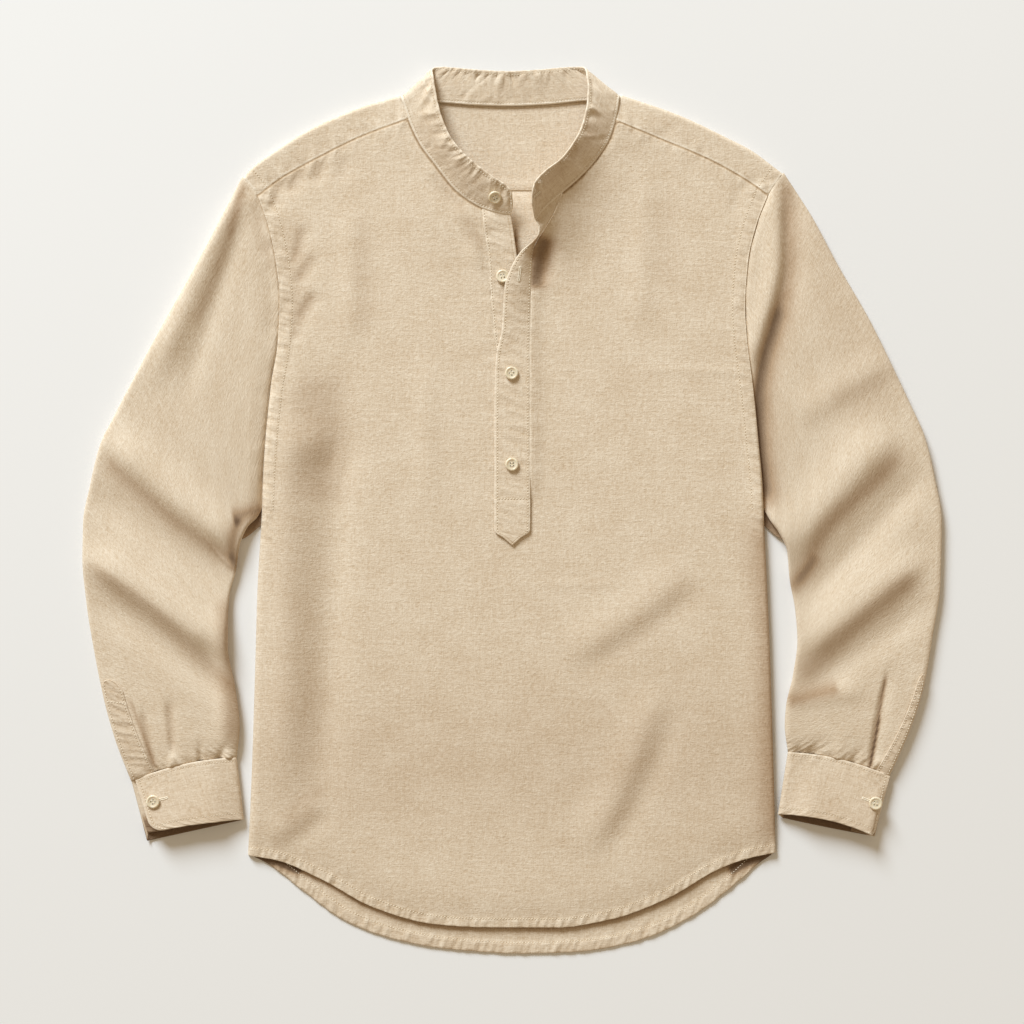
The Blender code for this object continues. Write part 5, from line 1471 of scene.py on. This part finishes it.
def make_over_placket():
    steps = np.linspace(0, len(OVER_PLACKET) - 1, OVER_SIZE[0])
    shares = np.linspace(0, 1, OVER_SIZE[1])
    rows = row_track(OVER_PLACKET[::-1]).at(steps)
    edges = mix(rows[:, None, :3], rows[:, None, 3:6], shares[None, :, None])
    edges[..., 2] += rows[:, 6:7] * 4 * shares * (1 - shares)
    points = placket_points(edges, mix(*OVER_STATIONS[::-1], shares))
    fields, across, along = strip_fields(points, *OVER_STITCHES)
    relief = ripple_rows(along, across, along.max(), *OVER_RIPPLES)
    points[..., 2] += relief * ease((along.max() - along - CALM_TOP) / CALM_FADE)
    x, y = points[..., 0], points[..., 1]
    fields["cloth"] = cloth_field(across, along, painted_shade_share(PLACKET_PAINTED_SHADE, x, y))
    above = y - CROSS_STITCH_Y
    fields["seam_3"] = stitch_field(above, x, np.abs(above) < CROSS_REACH)
    obj = shell("placket_over_cloth", points, DOUBLE, fields)
    sew = Sewing("stitches_placket_over")
    for from_last in (False, True):
        sew_columns(sew, points, across, OVER_STITCHES[from_last], OVER_STITCH_START,
                    OVER_STITCH_ENDS[from_last], from_last)
    sew.plan_line(tree_of(obj), [(x, CROSS_STITCH_Y)
                                 for x in np.linspace(*CROSS_STITCH_ENDS, 20)])
    finish_cloth(obj, "placket_over",
                 sewing=sew)


# ---- sleeves ----
HEAD_END = 0.08        # shares of a sleeve's length: down to here its head takes the body's height
CUFF_START = 0.93      # and from here it comes to the cuff's
BEND_END = 0.5         # down to here its rows bend with the armhole
BOW_START = 0.8        # from here on they bow with the cuff's seam,
BOW_FADE = 0.2         # fully so after this much more
CREASE_START = 0.04    # creases set in over this share of the length, below the armhole
HEAD_START = 0.005     # and the longer folds beside the armhole over this one
GATHER_SINK = (0.0012, 0.0040)    # depth and half width of the trough along the cuff's seam
SEAM_SINK = (-0.0010, 0.0022)     # height and half width of the one along the armhole
SINK_REACH = 0.008
# spacing, height and reach of the ripples along the armhole and of the gathers at the cuff
ARM_RIPPLES = (0.0120, 0.0005, 0.012)
GATHERS = (0.0130, 0.0026, 0.013)
SLEEVE_ROWS = 250
SLEEVE_COLUMNS = 62    # of the upper face, between those beside its edges
UNDER_COLUMNS = 9      # and of the lower face
SLEEVE_SEAM_SHADOWS = 3.0     # strength of the painted shadow lines at a sleeve's seams
# puckers at the armhole and at the cuff: strength up to PLAIN_EDGE and past it, and reach
ARM_PUCKERS = (0.12, 0.12, 0.009)
CUFF_PUCKERS = (0.7, 0.7, 0.010)
SLEEVE_NEAR = mm([(0, 0.4, 1.1, 2.1, 3.4, 5, 7)])[0]    # stops beside an upper face's edges
UNDER_NEAR = mm([(0.4, 1.1, 2.2, 3.5)])[0]              # and beside a lower face's
SLIT_START = 0.832
# share of painted shade on the strips beside the sleeves' slits
SLIT_PAINTED_SHADE = 0.12
STRIP_LIFT = 0.0010    # how far the slit's strip stands above the sleeve
STRIP_SIZE = (60, 13)  # rows and columns of its grid
CROSS_ROW = 13         # the row with the stitches across it
STRIP_PUCKER = 0.60
STRIP_STITCH_START = 0.05
SLIT_ROUND = 0.016     # share of the sleeve's length over which the strip's end is rounded
UNDERARM_TOP = 0.0020      # dark sheet in an armpit that stands in for the shadow there: y of its top,
UNDERARM_DROP = 0.0250     # how far down it runs beside the sleeve,
UNDERARM_INSETS = (0.0022, 0.0016)      # how far it runs in under the sleeve and the body,
UNDERARM_Z = (0.0011, 0.0030, 0.0012)   # heights at its top, and low down beside sleeve and body,
ARMPIT_PAINTED_SHADE = (1.0, 0.70)            # shares of painted shade at its top and low down,
UNDERARM_SIZE = (30, 14)                # and rows and columns


class Sleeve:
    """One sleeve: places on its upper face by the share of its length and distance across."""

    def __init__(self, outer, inner, armhole, fold_table, creases, head, cuff, side, seed):
        self.outer, self.inner = Path(outer), Path(inner)
        line = [(x + side * SEAM, y) for x, y in armhole]
        self.seam = Path(line + [outer[0]])
        self.start, self.end = self.seam.at(1.0), self.seam.at(0.0)
        self.folds, self.creases, self.head = fold_table, creases, head
        self.bow, self.side, self.seed = cuff["seam_bow"], side, seed
        self.seam_line = Seam(line)
        shares = np.linspace(0, 1, 12)[:, None]
        line = mix(np.array(cuff["seam_outer"]), np.array(cuff["seam_inner"]), shares)
        line[:, 1] += (self.bow * 4 * shares * (1 - shares))[:, 0]
        self.cuff_line = Seam(line)

    def length(self, t):
        return np.linalg.norm(self.inner.at(t) - self.outer.at(t), axis=-1)

    def plan(self, t, stop):
        share = stop / self.length(t)
        reach = np.maximum(0.0, 1 - t / BEND_END) ** 2
        bend = self.seam.at(1 - share) - mix(self.start, self.end, share[..., None])
        place = mix(self.outer.at(t), self.inner.at(t), share[..., None])
        place = place + bend * reach[..., None]
        place[..., 1] += self.bow * ease((t - BOW_START) / BOW_FADE) * 4 * share * (1 - share)
        return place, share

    def upper(self, t, stop):
        """Points of the upper face."""
        place, share = self.plan(t, stop)
        x, y = place[..., 0], place[..., 1]
        free = np.maximum(SLEEVE_LOFT + folds(self.folds, x, y), SLEEVE_LEAST)
        sewn = np.maximum(edge_height.at(self.seam.at(1 - share)[..., 1]), SLEEVE_LEAST)
        full = mix(free, sewn, 1 - ease(t / HEAD_END))
        full = mix(full, CUFF_LOFT, ease((t - CUFF_START) / (1 - CUFF_START)))
        full = np.maximum(full + self.relief(x, y, t), SLEEVE_FLOOR)
        inset = np.minimum(stop, self.length(t) - stop)
        return np.dstack([place, mix(SLEEVE_EDGE * full, full, rounded(inset, SLEEVE_ROLL))])

    def relief(self, x, y, t):
        total = folds(self.creases, x, y) * ease(t / CREASE_START)
        total += line_bands(self.head, x, y) * ease(t / HEAD_START)
        total += seam_ripples(x, y, self.seam_line, self.seed, *ARM_RIPPLES)
        total += seam_ripples(x, y, self.cuff_line, self.seed + 1, *GATHERS)
        total -= GATHER_SINK[0] * nearness(x, y, self.cuff_line, GATHER_SINK[1])
        depth, width = SEAM_SINK
        index, _, _, away = self.seam_line.near(x, y, SINK_REACH)
        sink = np.zeros(x.size)
        sink[index] = depth * bell(away, width)
        return total + sink.reshape(x.shape)


def sleeve_grid(sleeve):
    """Points all round a sleeve, and the distances across and along it."""
    t = np.linspace(0, 1, SLEEVE_ROWS)
    length = sleeve.length(t)[:, None]
    near, under_near = np.array(SLEEVE_NEAR), np.array(UNDER_NEAR)
    stops = np.concatenate([
        np.broadcast_to(near, (len(t), len(near))),
        mix(near[-1], length - near[-1], np.linspace(0, 1, SLEEVE_COLUMNS)[None, 1:-1]),
        length - near[::-1]], axis=1)
    top = sleeve.upper(np.broadcast_to(t[:, None], stops.shape), stops)
    under = np.concatenate([
        length - under_near,
        length * (1 - np.linspace(0, 1, UNDER_COLUMNS)[1:-1]),
        np.broadcast_to(under_near[::-1], (len(t), len(under_near)))], axis=1)
    place, _ = sleeve.plan(np.broadcast_to(t[:, None], under.shape), under)
    inset = np.minimum(under, length - under)
    edge = np.where(under > length / 2, top[:, -1:, 2], top[:, :1, 2])
    bottom = np.dstack([place, edge * (1 - rounded(inset, under_near[-1]))])
    across = np.concatenate([stops, 2 * length - under], axis=1)
    along = np.broadcast_to((t * sleeve.outer.length)[:, None], across.shape)
    return np.concatenate([top, bottom], axis=1), across, along


def turned(side, points, fields):
    """A grid and its fields, with the columns of a left piece (side -1) in the other order."""
    return points[:, ::side], {key: field[:, ::side] for key, field in fields.items()}


def make_sleeve(sleeve, name, painted_shade_lines, inner, body_side):
    points, across, along = sleeve_grid(sleeve)
    x, y = points[..., 0], points[..., 1]
    edge = -PLAIN_EDGE * sleeve.side
    points, fields = turned(sleeve.side, points, {
        "cloth": cloth_field(across, along, painted_shade_share(painted_shade_lines, x, y)),
        "seam_1": painted_seam_lines(x, y, [sleeve.seam_line, sleeve.cuff_line], SLEEVE_SEAM_SHADOWS),
        "pucker": seam_puckers(x, y, [(sleeve.seam_line, 0, edge, *ARM_PUCKERS),
                                      (sleeve.cuff_line, 0, edge, *CUFF_PUCKERS)]),
    })
    obj = shell(name + "_cloth", points, CLOTH, fields, closed=True)
    width = 2 * float(sleeve.length(np.linspace(0, 1, 20)).mean())
    armpit_shade_sheet = make_armpit_shade_sheet(name, inner, body_side, sleeve.side)
    finish_cloth(obj, name, others=[armpit_shade_sheet])


def make_sleeve_placket(sleeve, name, edges):
    """The strip beside the sleeve's slit: narrow end rounded, the other at the cuff."""
    t = mix(SLIT_START, 1.0, np.linspace(0, 1, STRIP_SIZE[0]))
    first, last = Track(edges).at(t).T
    reach = np.clip((t - SLIT_START) / SLIT_ROUND, 0, 1)
    shape = np.sqrt(np.clip(1 - (1 - reach) ** 2, 0.02, 1))
    centre, half = (first + last) / 2, (last - first) / 2 * shape
    stops = centre[:, None] + half[:, None] * np.linspace(-1, 1, STRIP_SIZE[1])[None]
    points = sleeve.upper(np.broadcast_to(t[:, None], stops.shape), stops)
    points[..., 2] += STRIP_LIFT
    points = points[:, ::sleeve.side]
    fields, across, _ = strip_fields(points, STRIP_STITCH, STRIP_STITCH, SLIT_PAINTED_SHADE,
                                     STRIP_PUCKER)
    obj = shell(name + "_cloth", points, STRIP, fields)
    sew = Sewing("stitches_" + name)
    for from_last in (False, True):
        sew_columns(sew, points, across, STRIP_STITCH, STRIP_STITCH_START,
                    from_last=from_last)
    sew.line(points[CROSS_ROW, 1:-1], grid_normals(points)[CROSS_ROW, 1:-1])
    finish_cloth(obj, name,
                 sewing=sew)


def make_armpit_shade_sheet(name, inner, body_side, side):
    """A dark sheet in the armpit, flat on the floor, that stands in for the shadow there: painted
    shade, deepest at its top.
    """
    sleeve_x = Track([(-y, x) for x, y in inner])
    body_x = Track([(-y, x) for x, y in body_side[::-1]])
    down = np.linspace(0, 1, UNDERARM_SIZE[0])[:, None]
    across = np.linspace(0, 1, UNDERARM_SIZE[1])[None]
    ends = mix(UNDERARM_DROP, UNDERARM_DROP / 2, ease(across))
    y = UNDERARM_TOP - down * (ends + UNDERARM_TOP)
    x = mix(sleeve_x.at(-y) + side * UNDERARM_INSETS[0],
            body_x.at(-y) - side * UNDERARM_INSETS[1], across)
    z = mix(UNDERARM_Z[0], mix(*UNDERARM_Z[1:], ease(across)), ease(down))
    points = np.dstack([x, y, z])[::-1]
    if side > 0:
        points = points[:, ::-1]
    painted_shade = mix(*ARMPIT_PAINTED_SHADE, ease(-points[..., 1] / UNDERARM_DROP))
    obj = shell(name + "_underarm", points, STRIP,
                {"cloth": cloth_field(points[..., 0], points[..., 1], painted_shade)})
    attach(obj, "root")
    return obj


# ---- cuffs ----
CUFF_PUFF = 0.0064          # how far a cuff's mouth stands up
CUFF_PAINTED_SHADE = 0.07           # share of painted shade on its face at the seam; twice that at its mouth
MOUTH_PAINTED_SHADES = (0.92, 0.80)    # and of painted shade on its hidden half and on its hidden end, in the mouth
LAP_GAP = 0.0005            # from the buttoned end down to the hidden one
LAP_START = 0.006           # columns of the hidden end are even from here on
LAP_COLUMNS = 6
CUFF_ROWS = spread([0.0, 0.02, 0.06, 0.92, 0.95, 0.975, 0.99, 1.0], 0.04)
CUFF_COLUMNS = 36           # of the upper face
# ripples from the seam and from the mouth: spacing, height, reach and lean
CUFF_RIPPLES = (0.0100, 0.0006, 0.012, 0.15)
MOUTH_RIPPLES = (0.0110, 0.0002, 0.010)
CUFF_THREAD = 0.00025
MOUTH_PUCKERS = (0.30, 0.0060, 0.0020)    # their strength, width, and how softly they set in
SEAM_PUCKERS = (0.35, 0.008)              # their strength and reach
CUFF_SEAM_STITCH = 0.0022   # from the cuff's seam to its stitches
CUFF_MOUTH_STITCH = 0.0045  # and from its mouth
CUFF_END_STITCH = 0.0030    # and from its buttoned end
CUFF_LENGTH = 0.11          # the length over which its ripples are spread
CUFF_NEAR = mm([(0.1, 0.4, 0.9, 1.6, 2.6, 4)])[0]    # stops beside its side edges


def cuff_grid(plan, t):
    """Points of a cuff's rows t: upper face, lower face, and hidden end under the upper face.

    Also gives each point's share of the way from the outer to the inner edge, the cuff's depth,
    and the columns where the upper and the lower face end.
    """
    corner = {key: np.array(value) for key, value in plan.items() if isinstance(value, tuple)}
    upper, lower = [[mix(corner["seam_" + end], corner[face + end], t)
                     for end in ("outer", "inner")] for face in ("upper_", "lower_")]
    length = np.linalg.norm(upper[1] - upper[0], axis=1)[:, None]
    depth = np.linalg.norm(corner["upper_outer"] - corner["seam_outer"])
    radius = plan["radius"]
    past = np.clip(t * depth - (depth - radius), 0, radius)
    end_inset = mix(*plan["inset"], t) + radius - np.sqrt(radius ** 2 - past ** 2)
    edge = np.array(CUFF_NEAR)
    top_stops = np.concatenate([
        mix(end_inset, length - edge[-1], np.linspace(0, 1, CUFF_COLUMNS)[None]),
        length - edge[::-1][1:], length], axis=1)
    under_stops = np.concatenate([
        length - edge, length * np.linspace(0.9, 0.1, 9)[None],
        np.broadcast_to(edge[::-1], (len(t), len(edge)))], axis=1)
    lap_stops = np.concatenate([edge, np.linspace(LAP_START, CUFF_LAP, LAP_COLUMNS)])
    lap_stops = np.broadcast_to(lap_stops, (len(t), len(lap_stops)))

    def along(ends, stops):
        return mix(ends[0][:, None], ends[1][:, None], (stops / length)[..., None])

    fall = 1 - rounded(length - top_stops, CUFF_ROLL)
    top = np.dstack([along(upper, top_stops), mix(CUFF_LOFT, CUFF_LOFT / 2, fall)])
    fall = 1 - rounded(np.minimum(under_stops, length - under_stops), CUFF_ROLL)
    bottom = np.dstack([along(lower, under_stops), fall * CUFF_LOFT / 2])
    under = CUFF_LOFT - DOUBLE - LAP_GAP
    middle = np.dstack([mix(lower[0], upper[0], 0.5)[:, None],
                        np.full((len(t), 1, 1), under / 2)])
    fall = 1 - rounded(lap_stops, CUFF_ROLL)
    lap = np.dstack([along(upper, lap_stops), mix(under, under / 2, fall)])
    points = np.concatenate([top, bottom, middle, lap], axis=1)
    width, lap_start = top.shape[1], top.shape[1] + bottom.shape[1]
    is_top = np.arange(points.shape[1]) < width
    bow = mix(plan["seam_bow"], np.where(is_top, plan["upper_bow"], plan["lower_bow"])[None], t)
    share = np.linalg.norm(points[..., :2] - upper[0][:, None], axis=2) / length
    points[..., 1] += np.where(share < 1, bow * 4 * share * (1 - share), 0.0)
    return points, share, depth, width, lap_start


def make_cuff(plan, name, side, seed):
    t = CUFF_ROWS[:, None]
    points, share, depth, width, lap_start = cuff_grid(plan, t)
    number = np.arange(points.shape[1])
    is_top, is_lap = number < width, number > lap_start
    is_under = (number >= width) & (number < lap_start)
    down = np.broadcast_to(t * depth, points.shape[:2])
    steps = np.linalg.norm(np.diff(points, axis=1), axis=2)
    around = np.concatenate([np.zeros((len(t), 1)), np.cumsum(steps, axis=1)], axis=1)
    relief = ripple_rows(around, down, CUFF_LENGTH, seed, *CUFF_RIPPLES)
    relief += ripple_rows(around, depth - down, CUFF_LENGTH, seed + 1, *MOUTH_RIPPLES)
    points[..., 2] += relief * is_top[None]
    # the mouth's upper face stands up, and comes down again towards both side edges
    puff = CUFF_PUFF * t * ease((1 - share) / 0.35) * ease(share / 0.05)
    points[..., 2] += puff * is_top[None]
    # painted shade: the hidden half, seen in the mouth, is darker between its ends, and only near
    # the mouth
    middle_share = ease((share - 0.02) / 0.06) * ease((0.99 - share) / 0.03)
    inside = MOUTH_PAINTED_SHADES[0] * is_under[None] * middle_share + MOUTH_PAINTED_SHADES[1] * is_lap[None]
    inside = inside * ease((t - 0.6) / 0.2)
    # painted shade on the face, darker towards the mouth
    shade = CUFF_PAINTED_SHADE * (1 + ease(t)) * is_top[None]
    strength, width_there, over = MOUTH_PUCKERS
    puckers = strength * ease((width_there - depth + down) / over)
    puckers += SEAM_PUCKERS[0] * bell(down, SEAM_PUCKERS[1])
    points, fields = turned(side, points, {
        "cloth": cloth_field(around, down, inside + shade),
        "seam_1": stitch_field(down - CUFF_SEAM_STITCH, around, 1.0),
        "seam_2": stitch_field(depth - CUFF_MOUTH_STITCH - down, around, 1.0),
        "seam_3": stitch_field(around - CUFF_END_STITCH, down, is_top[None]),
        "pucker": pucker_field(puckers, 0.0, down.shape),
    })
    obj = shell(name + "_cloth", points, DOUBLE, fields, rim=5)
    normals = grid_normals(points)
    keep = slice(width) if side > 0 else slice(-width, None)
    sew = Sewing("stitches_" + name)
    for distance in (CUFF_SEAM_STITCH, depth - CUFF_MOUTH_STITCH):
        row = np.interp(distance, down[:, 0], np.arange(len(down)))
        sew.row_line(points[:, keep], normals[:, keep], row, radius=CUFF_THREAD)
    end_line = points[:, ::side][:, :width]
    reach = np.linalg.norm(end_line - end_line[:, :1], axis=2)
    sew.line(at_distance([CUFF_END_STITCH] * len(reach), reach, end_line),
             normals[:, ::side][:, 2])
    finish_cloth(obj, name,
                 sewing=sew)


# ---- buttons and buttonholes ----
# section of a button from its foot over its rim into the dish: shares of its radius and thickness
BUTTON_SECTION = [(0.60, 0.0), (0.86, 0.04), (0.95, 0.16), (0.995, 0.36), (1.0, 0.56),
                  (0.985, 0.74), (0.945, 0.88), (0.885, 0.965), (0.81, 1.0), (0.745, 0.985),
                  (0.69, 0.93), (0.63, 0.86), (0.56, 0.82), (0.46, 0.80)]
BUTTON_SIDES = 64
BUTTON_SHARP_ANGLE = 50
HOLE_SIDES = 20
HOLE_RADIUS = 0.00060
HOLE_DEPTH = 0.01
HOLE_SPREAD = 0.00125       # half the spacing of the four holes
HOLE_CORNERS = ((1, 1), (1, -1), (-1, 1), (-1, -1))
THREAD_LEVEL = 0.79         # height of the threads over a button, to its thickness
THREAD_HALF = 0.00012       # half the distance between two threads in one pair of holes
THREAD_RADIUS = 0.00022
SLIT_PITCH = 0.00042        # from one stitch of a buttonhole to the next
SLIT_STITCH = (0.00012, 0.00120)    # where such a stitch starts and ends beside the slit
SLIT_THREAD = 0.00030
BAR_HALF = 0.0011           # half the length of the bars at a buttonhole's ends
BAR_THREAD = 0.00026
BAR_SHIFTS = (-0.0003, 0.0, 0.0003)


def circle(radius, height, sides, x=0.0, y=0.0):
    turns = [math.tau * i / sides for i in range(sides)]
    return [(x + radius * math.cos(turn), y + radius * math.sin(turn), height) for turn in turns]


def button_shell():
    """A button about the origin, without holes: a turned disc with a rolled rim and a dish."""
    places = [(0.0, 0.0, 0.0)]
    for radius, height in BUTTON_SECTION:
        places += circle(radius * BUTTON_RADIUS, height * BUTTON_THICK, BUTTON_SIDES)
    places.append((0.0, 0.0, BUTTON_SECTION[-1][1] * BUTTON_THICK))
    rings = [1 + BUTTON_SIDES * k for k in range(len(BUTTON_SECTION))]
    faces = []
    for i in range(BUTTON_SIDES):
        j = (i + 1) % BUTTON_SIDES
        faces.append((0, rings[0] + j, rings[0] + i))
        for low, high in zip(rings, rings[1:]):
            faces.append((low + i, low + j, high + j, high + i))
        faces.append((rings[-1] + i, rings[-1] + j, len(places) - 1))
    return places, faces


def hole_pins():
    """Four pins that cut the holes."""
    places, faces = [], []
    sides = HOLE_SIDES
    pin = [(i, (i + 1) % sides, sides + (i + 1) % sides, sides + i) for i in range(sides)]
    pin += [tuple(range(sides))[::-1], tuple(range(sides, 2 * sides))]
    for side_x, side_y in HOLE_CORNERS:
        faces += [tuple(len(places) + i for i in face) for face in pin]
        for height in (-HOLE_DEPTH, HOLE_DEPTH):
            places += circle(HOLE_RADIUS, height, sides, side_x * HOLE_SPREAD,
                             side_y * HOLE_SPREAD)
    return places, faces


def make_button(name, place, normal, turn):
    obj = mesh_object(name + "_disc", *button_shell(), HORN)
    cutter = mesh_object(name + "_holes", *hole_pins(), smooth=False)
    cut = obj.modifiers.new("holes", "BOOLEAN")
    cut.operation = "DIFFERENCE"
    cut.solver = "EXACT"
    cut.object = cutter
    graph = bpy.context.evaluated_depsgraph_get()
    done = bpy.data.meshes.new_from_object(obj.evaluated_get(graph))
    obj.modifiers.clear()
    obj.data = done
    bpy.data.objects.remove(cutter)
    done.set_sharp_from_angle(angle=math.radians(BUTTON_SHARP_ANGLE))
    rotation = Vector((0, 0, 1)).rotation_difference(Vector(normal)).to_matrix()
    spin = np.array([[math.cos(turn), -math.sin(turn), 0], [math.sin(turn), math.cos(turn), 0],
                     [0, 0, 1]])
    matrix = np.array(rotation) @ spin
    co = np.empty(len(done.vertices) * 3)
    done.vertices.foreach_get("co", co)
    done.vertices.foreach_set("co", (co.reshape(-1, 3) @ matrix.T + place).ravel())
    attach(obj, "root")
    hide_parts(name)
    sew = Sewing("thread_" + name)
    for side in (1, -1):
        for shift in (-THREAD_HALF, THREAD_HALF):
            x, y = side * HOLE_SPREAD + shift, HOLE_SPREAD
            start, end = [matrix @ np.array((x, y, THREAD_LEVEL * BUTTON_THICK)) + place
                          for y in (HOLE_SPREAD, -HOLE_SPREAD)]
            sew.strand(start, end, np.array(normal), THREAD_RADIUS, sink=3.0)
    sew.make()


def buttonhole(sew, places, normals):
    """Two close rows of cross stitches round a slit, with a bar at each end."""
    up = unit(normals.mean(0))
    line = places[-1] - places[0]
    side = unit(np.cross(up, line))
    stops = np.linspace(0, 1, len(places))
    count = int(np.linalg.norm(line) / SLIT_PITCH)
    for i in range(count):
        centre = at_distance([(i + 0.5) / count], [stops], [places])[0]
        for hand in (-1, 1):
            start, end = [centre + side * hand * reach for reach in SLIT_STITCH]
            sew.strand(start, end, up, SLIT_THREAD)
    for end_place in (places[0], places[-1]):
        for shift in BAR_SHIFTS:
            middle = end_place + unit(line) * shift
            sew.strand(middle - side * BAR_HALF, middle + side * BAR_HALF, up, BAR_THREAD)


# ---- building everything ----
# seeds of the ripples of the left and the right sleeve, and of both cuffs
SLEEVE_SEEDS = (61, 71)
CUFF_SEEDS = (81, 91)
# stops of the strips beside the sleeves' slits: share of the sleeve's length, and distances of
# both edges from its outer edge
LEFT_STRIP = [(0.80, 0.0018, 0.0190), (1.0, 0.0018, 0.0205)]
RIGHT_STRIP = [(0.80, 0.0008, 0.0060), (0.90, 0.0008, 0.0088), (1.0, 0.0008, 0.0115)]
CARRIERS = {"button_front_2": "placket_under", "button_front_3": "placket_over",
            "button_front_4": "placket_over", "button_cuff_left": "cuff_left",
            "button_cuff_right": "cuff_right"}
BUTTON_LIFT = 0.0003
FIRST_TURN = 0.2      # how far the first button is turned, in radians,
TURN_STEP = 0.7       # and how much further each one after it
COLLAR_BUTTON = (-0.0146, 0.2675)
COLLAR_BUTTON_LIFT = 0.0004
COLLAR_BUTTON_TURN = 0.4
# ends of each buttonhole in plan
BUTTONHOLES = [
    ("collar_band", (0.0190, 0.2655), (0.0237, 0.2702)),
    ("placket_over", (0.0058, 0.1958), (0.0072, 0.2078)),
    ("cuff_left", (-0.3040, -0.2486), (-0.2952, -0.2464)),
    ("cuff_right", (0.3078, -0.2496), (0.3002, -0.2466)),
]

make_front()
make_back()
make_yoke()
make_collar()
make_under_placket()
make_over_placket()
left_sleeve = Sleeve(LEFT_SLEEVE_OUTER, LEFT_SLEEVE_INNER, LEFT_ARMHOLE, LEFT_SLEEVE_FOLDS,
                     LEFT_SLEEVE_CREASES, LEFT_HEAD_LINES, LEFT_CUFF, -1, SLEEVE_SEEDS[0])
right_sleeve = Sleeve(RIGHT_SLEEVE_OUTER, RIGHT_SLEEVE_INNER, RIGHT_ARMHOLE, RIGHT_SLEEVE_FOLDS,
                      RIGHT_SLEEVE_CREASES, RIGHT_HEAD_LINES, RIGHT_CUFF, 1, SLEEVE_SEEDS[1])
make_sleeve(left_sleeve, "sleeve_left", LEFT_SLEEVE_PAINTED_SHADE, LEFT_SLEEVE_INNER, LEFT_SIDE)
make_sleeve(right_sleeve, "sleeve_right", RIGHT_SLEEVE_PAINTED_SHADE, RIGHT_SLEEVE_INNER, RIGHT_SIDE)
make_sleeve_placket(left_sleeve, "sleeve_placket_left", LEFT_STRIP)
make_sleeve_placket(right_sleeve, "sleeve_placket_right", RIGHT_STRIP)
make_cuff(LEFT_CUFF, "cuff_left", -1, CUFF_SEEDS[0])
make_cuff(RIGHT_CUFF, "cuff_right", 1, CUFF_SEEDS[1])

trees = {name: tree_of(bpy.data.objects[name + "_cloth"])
         for name in ("collar_band", *dict.fromkeys(CARRIERS.values()))}
for index, (name, x, y) in enumerate(BUTTONS):
    place, _ = top_of(trees[CARRIERS[name]], x, y)
    make_button(name, place + np.array((0, 0, BUTTON_LIFT)), (0, 0, 1),
                FIRST_TURN + TURN_STEP * index)
place, normal = top_of(trees["collar_band"], *COLLAR_BUTTON)
make_button("button_collar", place + normal * COLLAR_BUTTON_LIFT, normal, COLLAR_BUTTON_TURN)

holes = Sewing("buttonholes")
for carrier, start, end in BUTTONHOLES:
    line = [top_of(trees[carrier], *mix(np.array(start), np.array(end), share))
            for share in np.linspace(0, 1, 9)]
    buttonhole(holes, *[np.array(column) for column in zip(*line)])
holes.make()

# ---- floor, light and camera ----
FLOOR_HALF = 4
FLOOR_Z = -0.0003
SKY_COLOUR = (1.0, 0.80, 0.55, 1.0)
SKY_STRENGTH = 0.425
LIGHT_WAY = Vector((0.50, -1.0, -0.56))
LIGHT_DISTANCE = 8.5
LIGHT_SIZE = 3.6
LIGHT_POWER = 1095.0
LIGHT_COLOUR = (0.82, 0.914, 1.0)
CAMERA_PLACE = (0.0, -0.0017, 2.08)

corners = [(side_x * FLOOR_HALF, side_y * FLOOR_HALF, FLOOR_Z)
           for side_x, side_y in ((-1, -1), (1, -1), (1, 1), (-1, 1))]
mesh_object("floor", corners, [(0, 1, 2, 3)], floor_material(), smooth=False)

scene = bpy.context.scene
world = bpy.data.worlds.new("studio")
world.use_nodes = True
sky = world.node_tree.nodes["Background"].inputs
sky["Color"].default_value = SKY_COLOUR
sky["Strength"].default_value = SKY_STRENGTH
scene.world = world

key = bpy.data.lights.new("key", "AREA")
key.shape = "DISK"
key.size = LIGHT_SIZE
key.energy = LIGHT_POWER
key.color = LIGHT_COLOUR
key_object = bpy.data.objects.new("key", key)
key_object.location = -LIGHT_WAY.normalized() * LIGHT_DISTANCE
key_object.rotation_euler = LIGHT_WAY.to_track_quat("-Z", "Y").to_euler()
scene.collection.objects.link(key_object)

camera = bpy.data.cameras.new("camera")
camera.lens = 85
camera.sensor_width = 36
camera.clip_end = 50
camera_object = bpy.data.objects.new("camera", camera)
camera_object.location = CAMERA_PLACE
scene.collection.objects.link(camera_object)
scene.camera = camera_object
scene.view_settings.view_transform = "Standard"
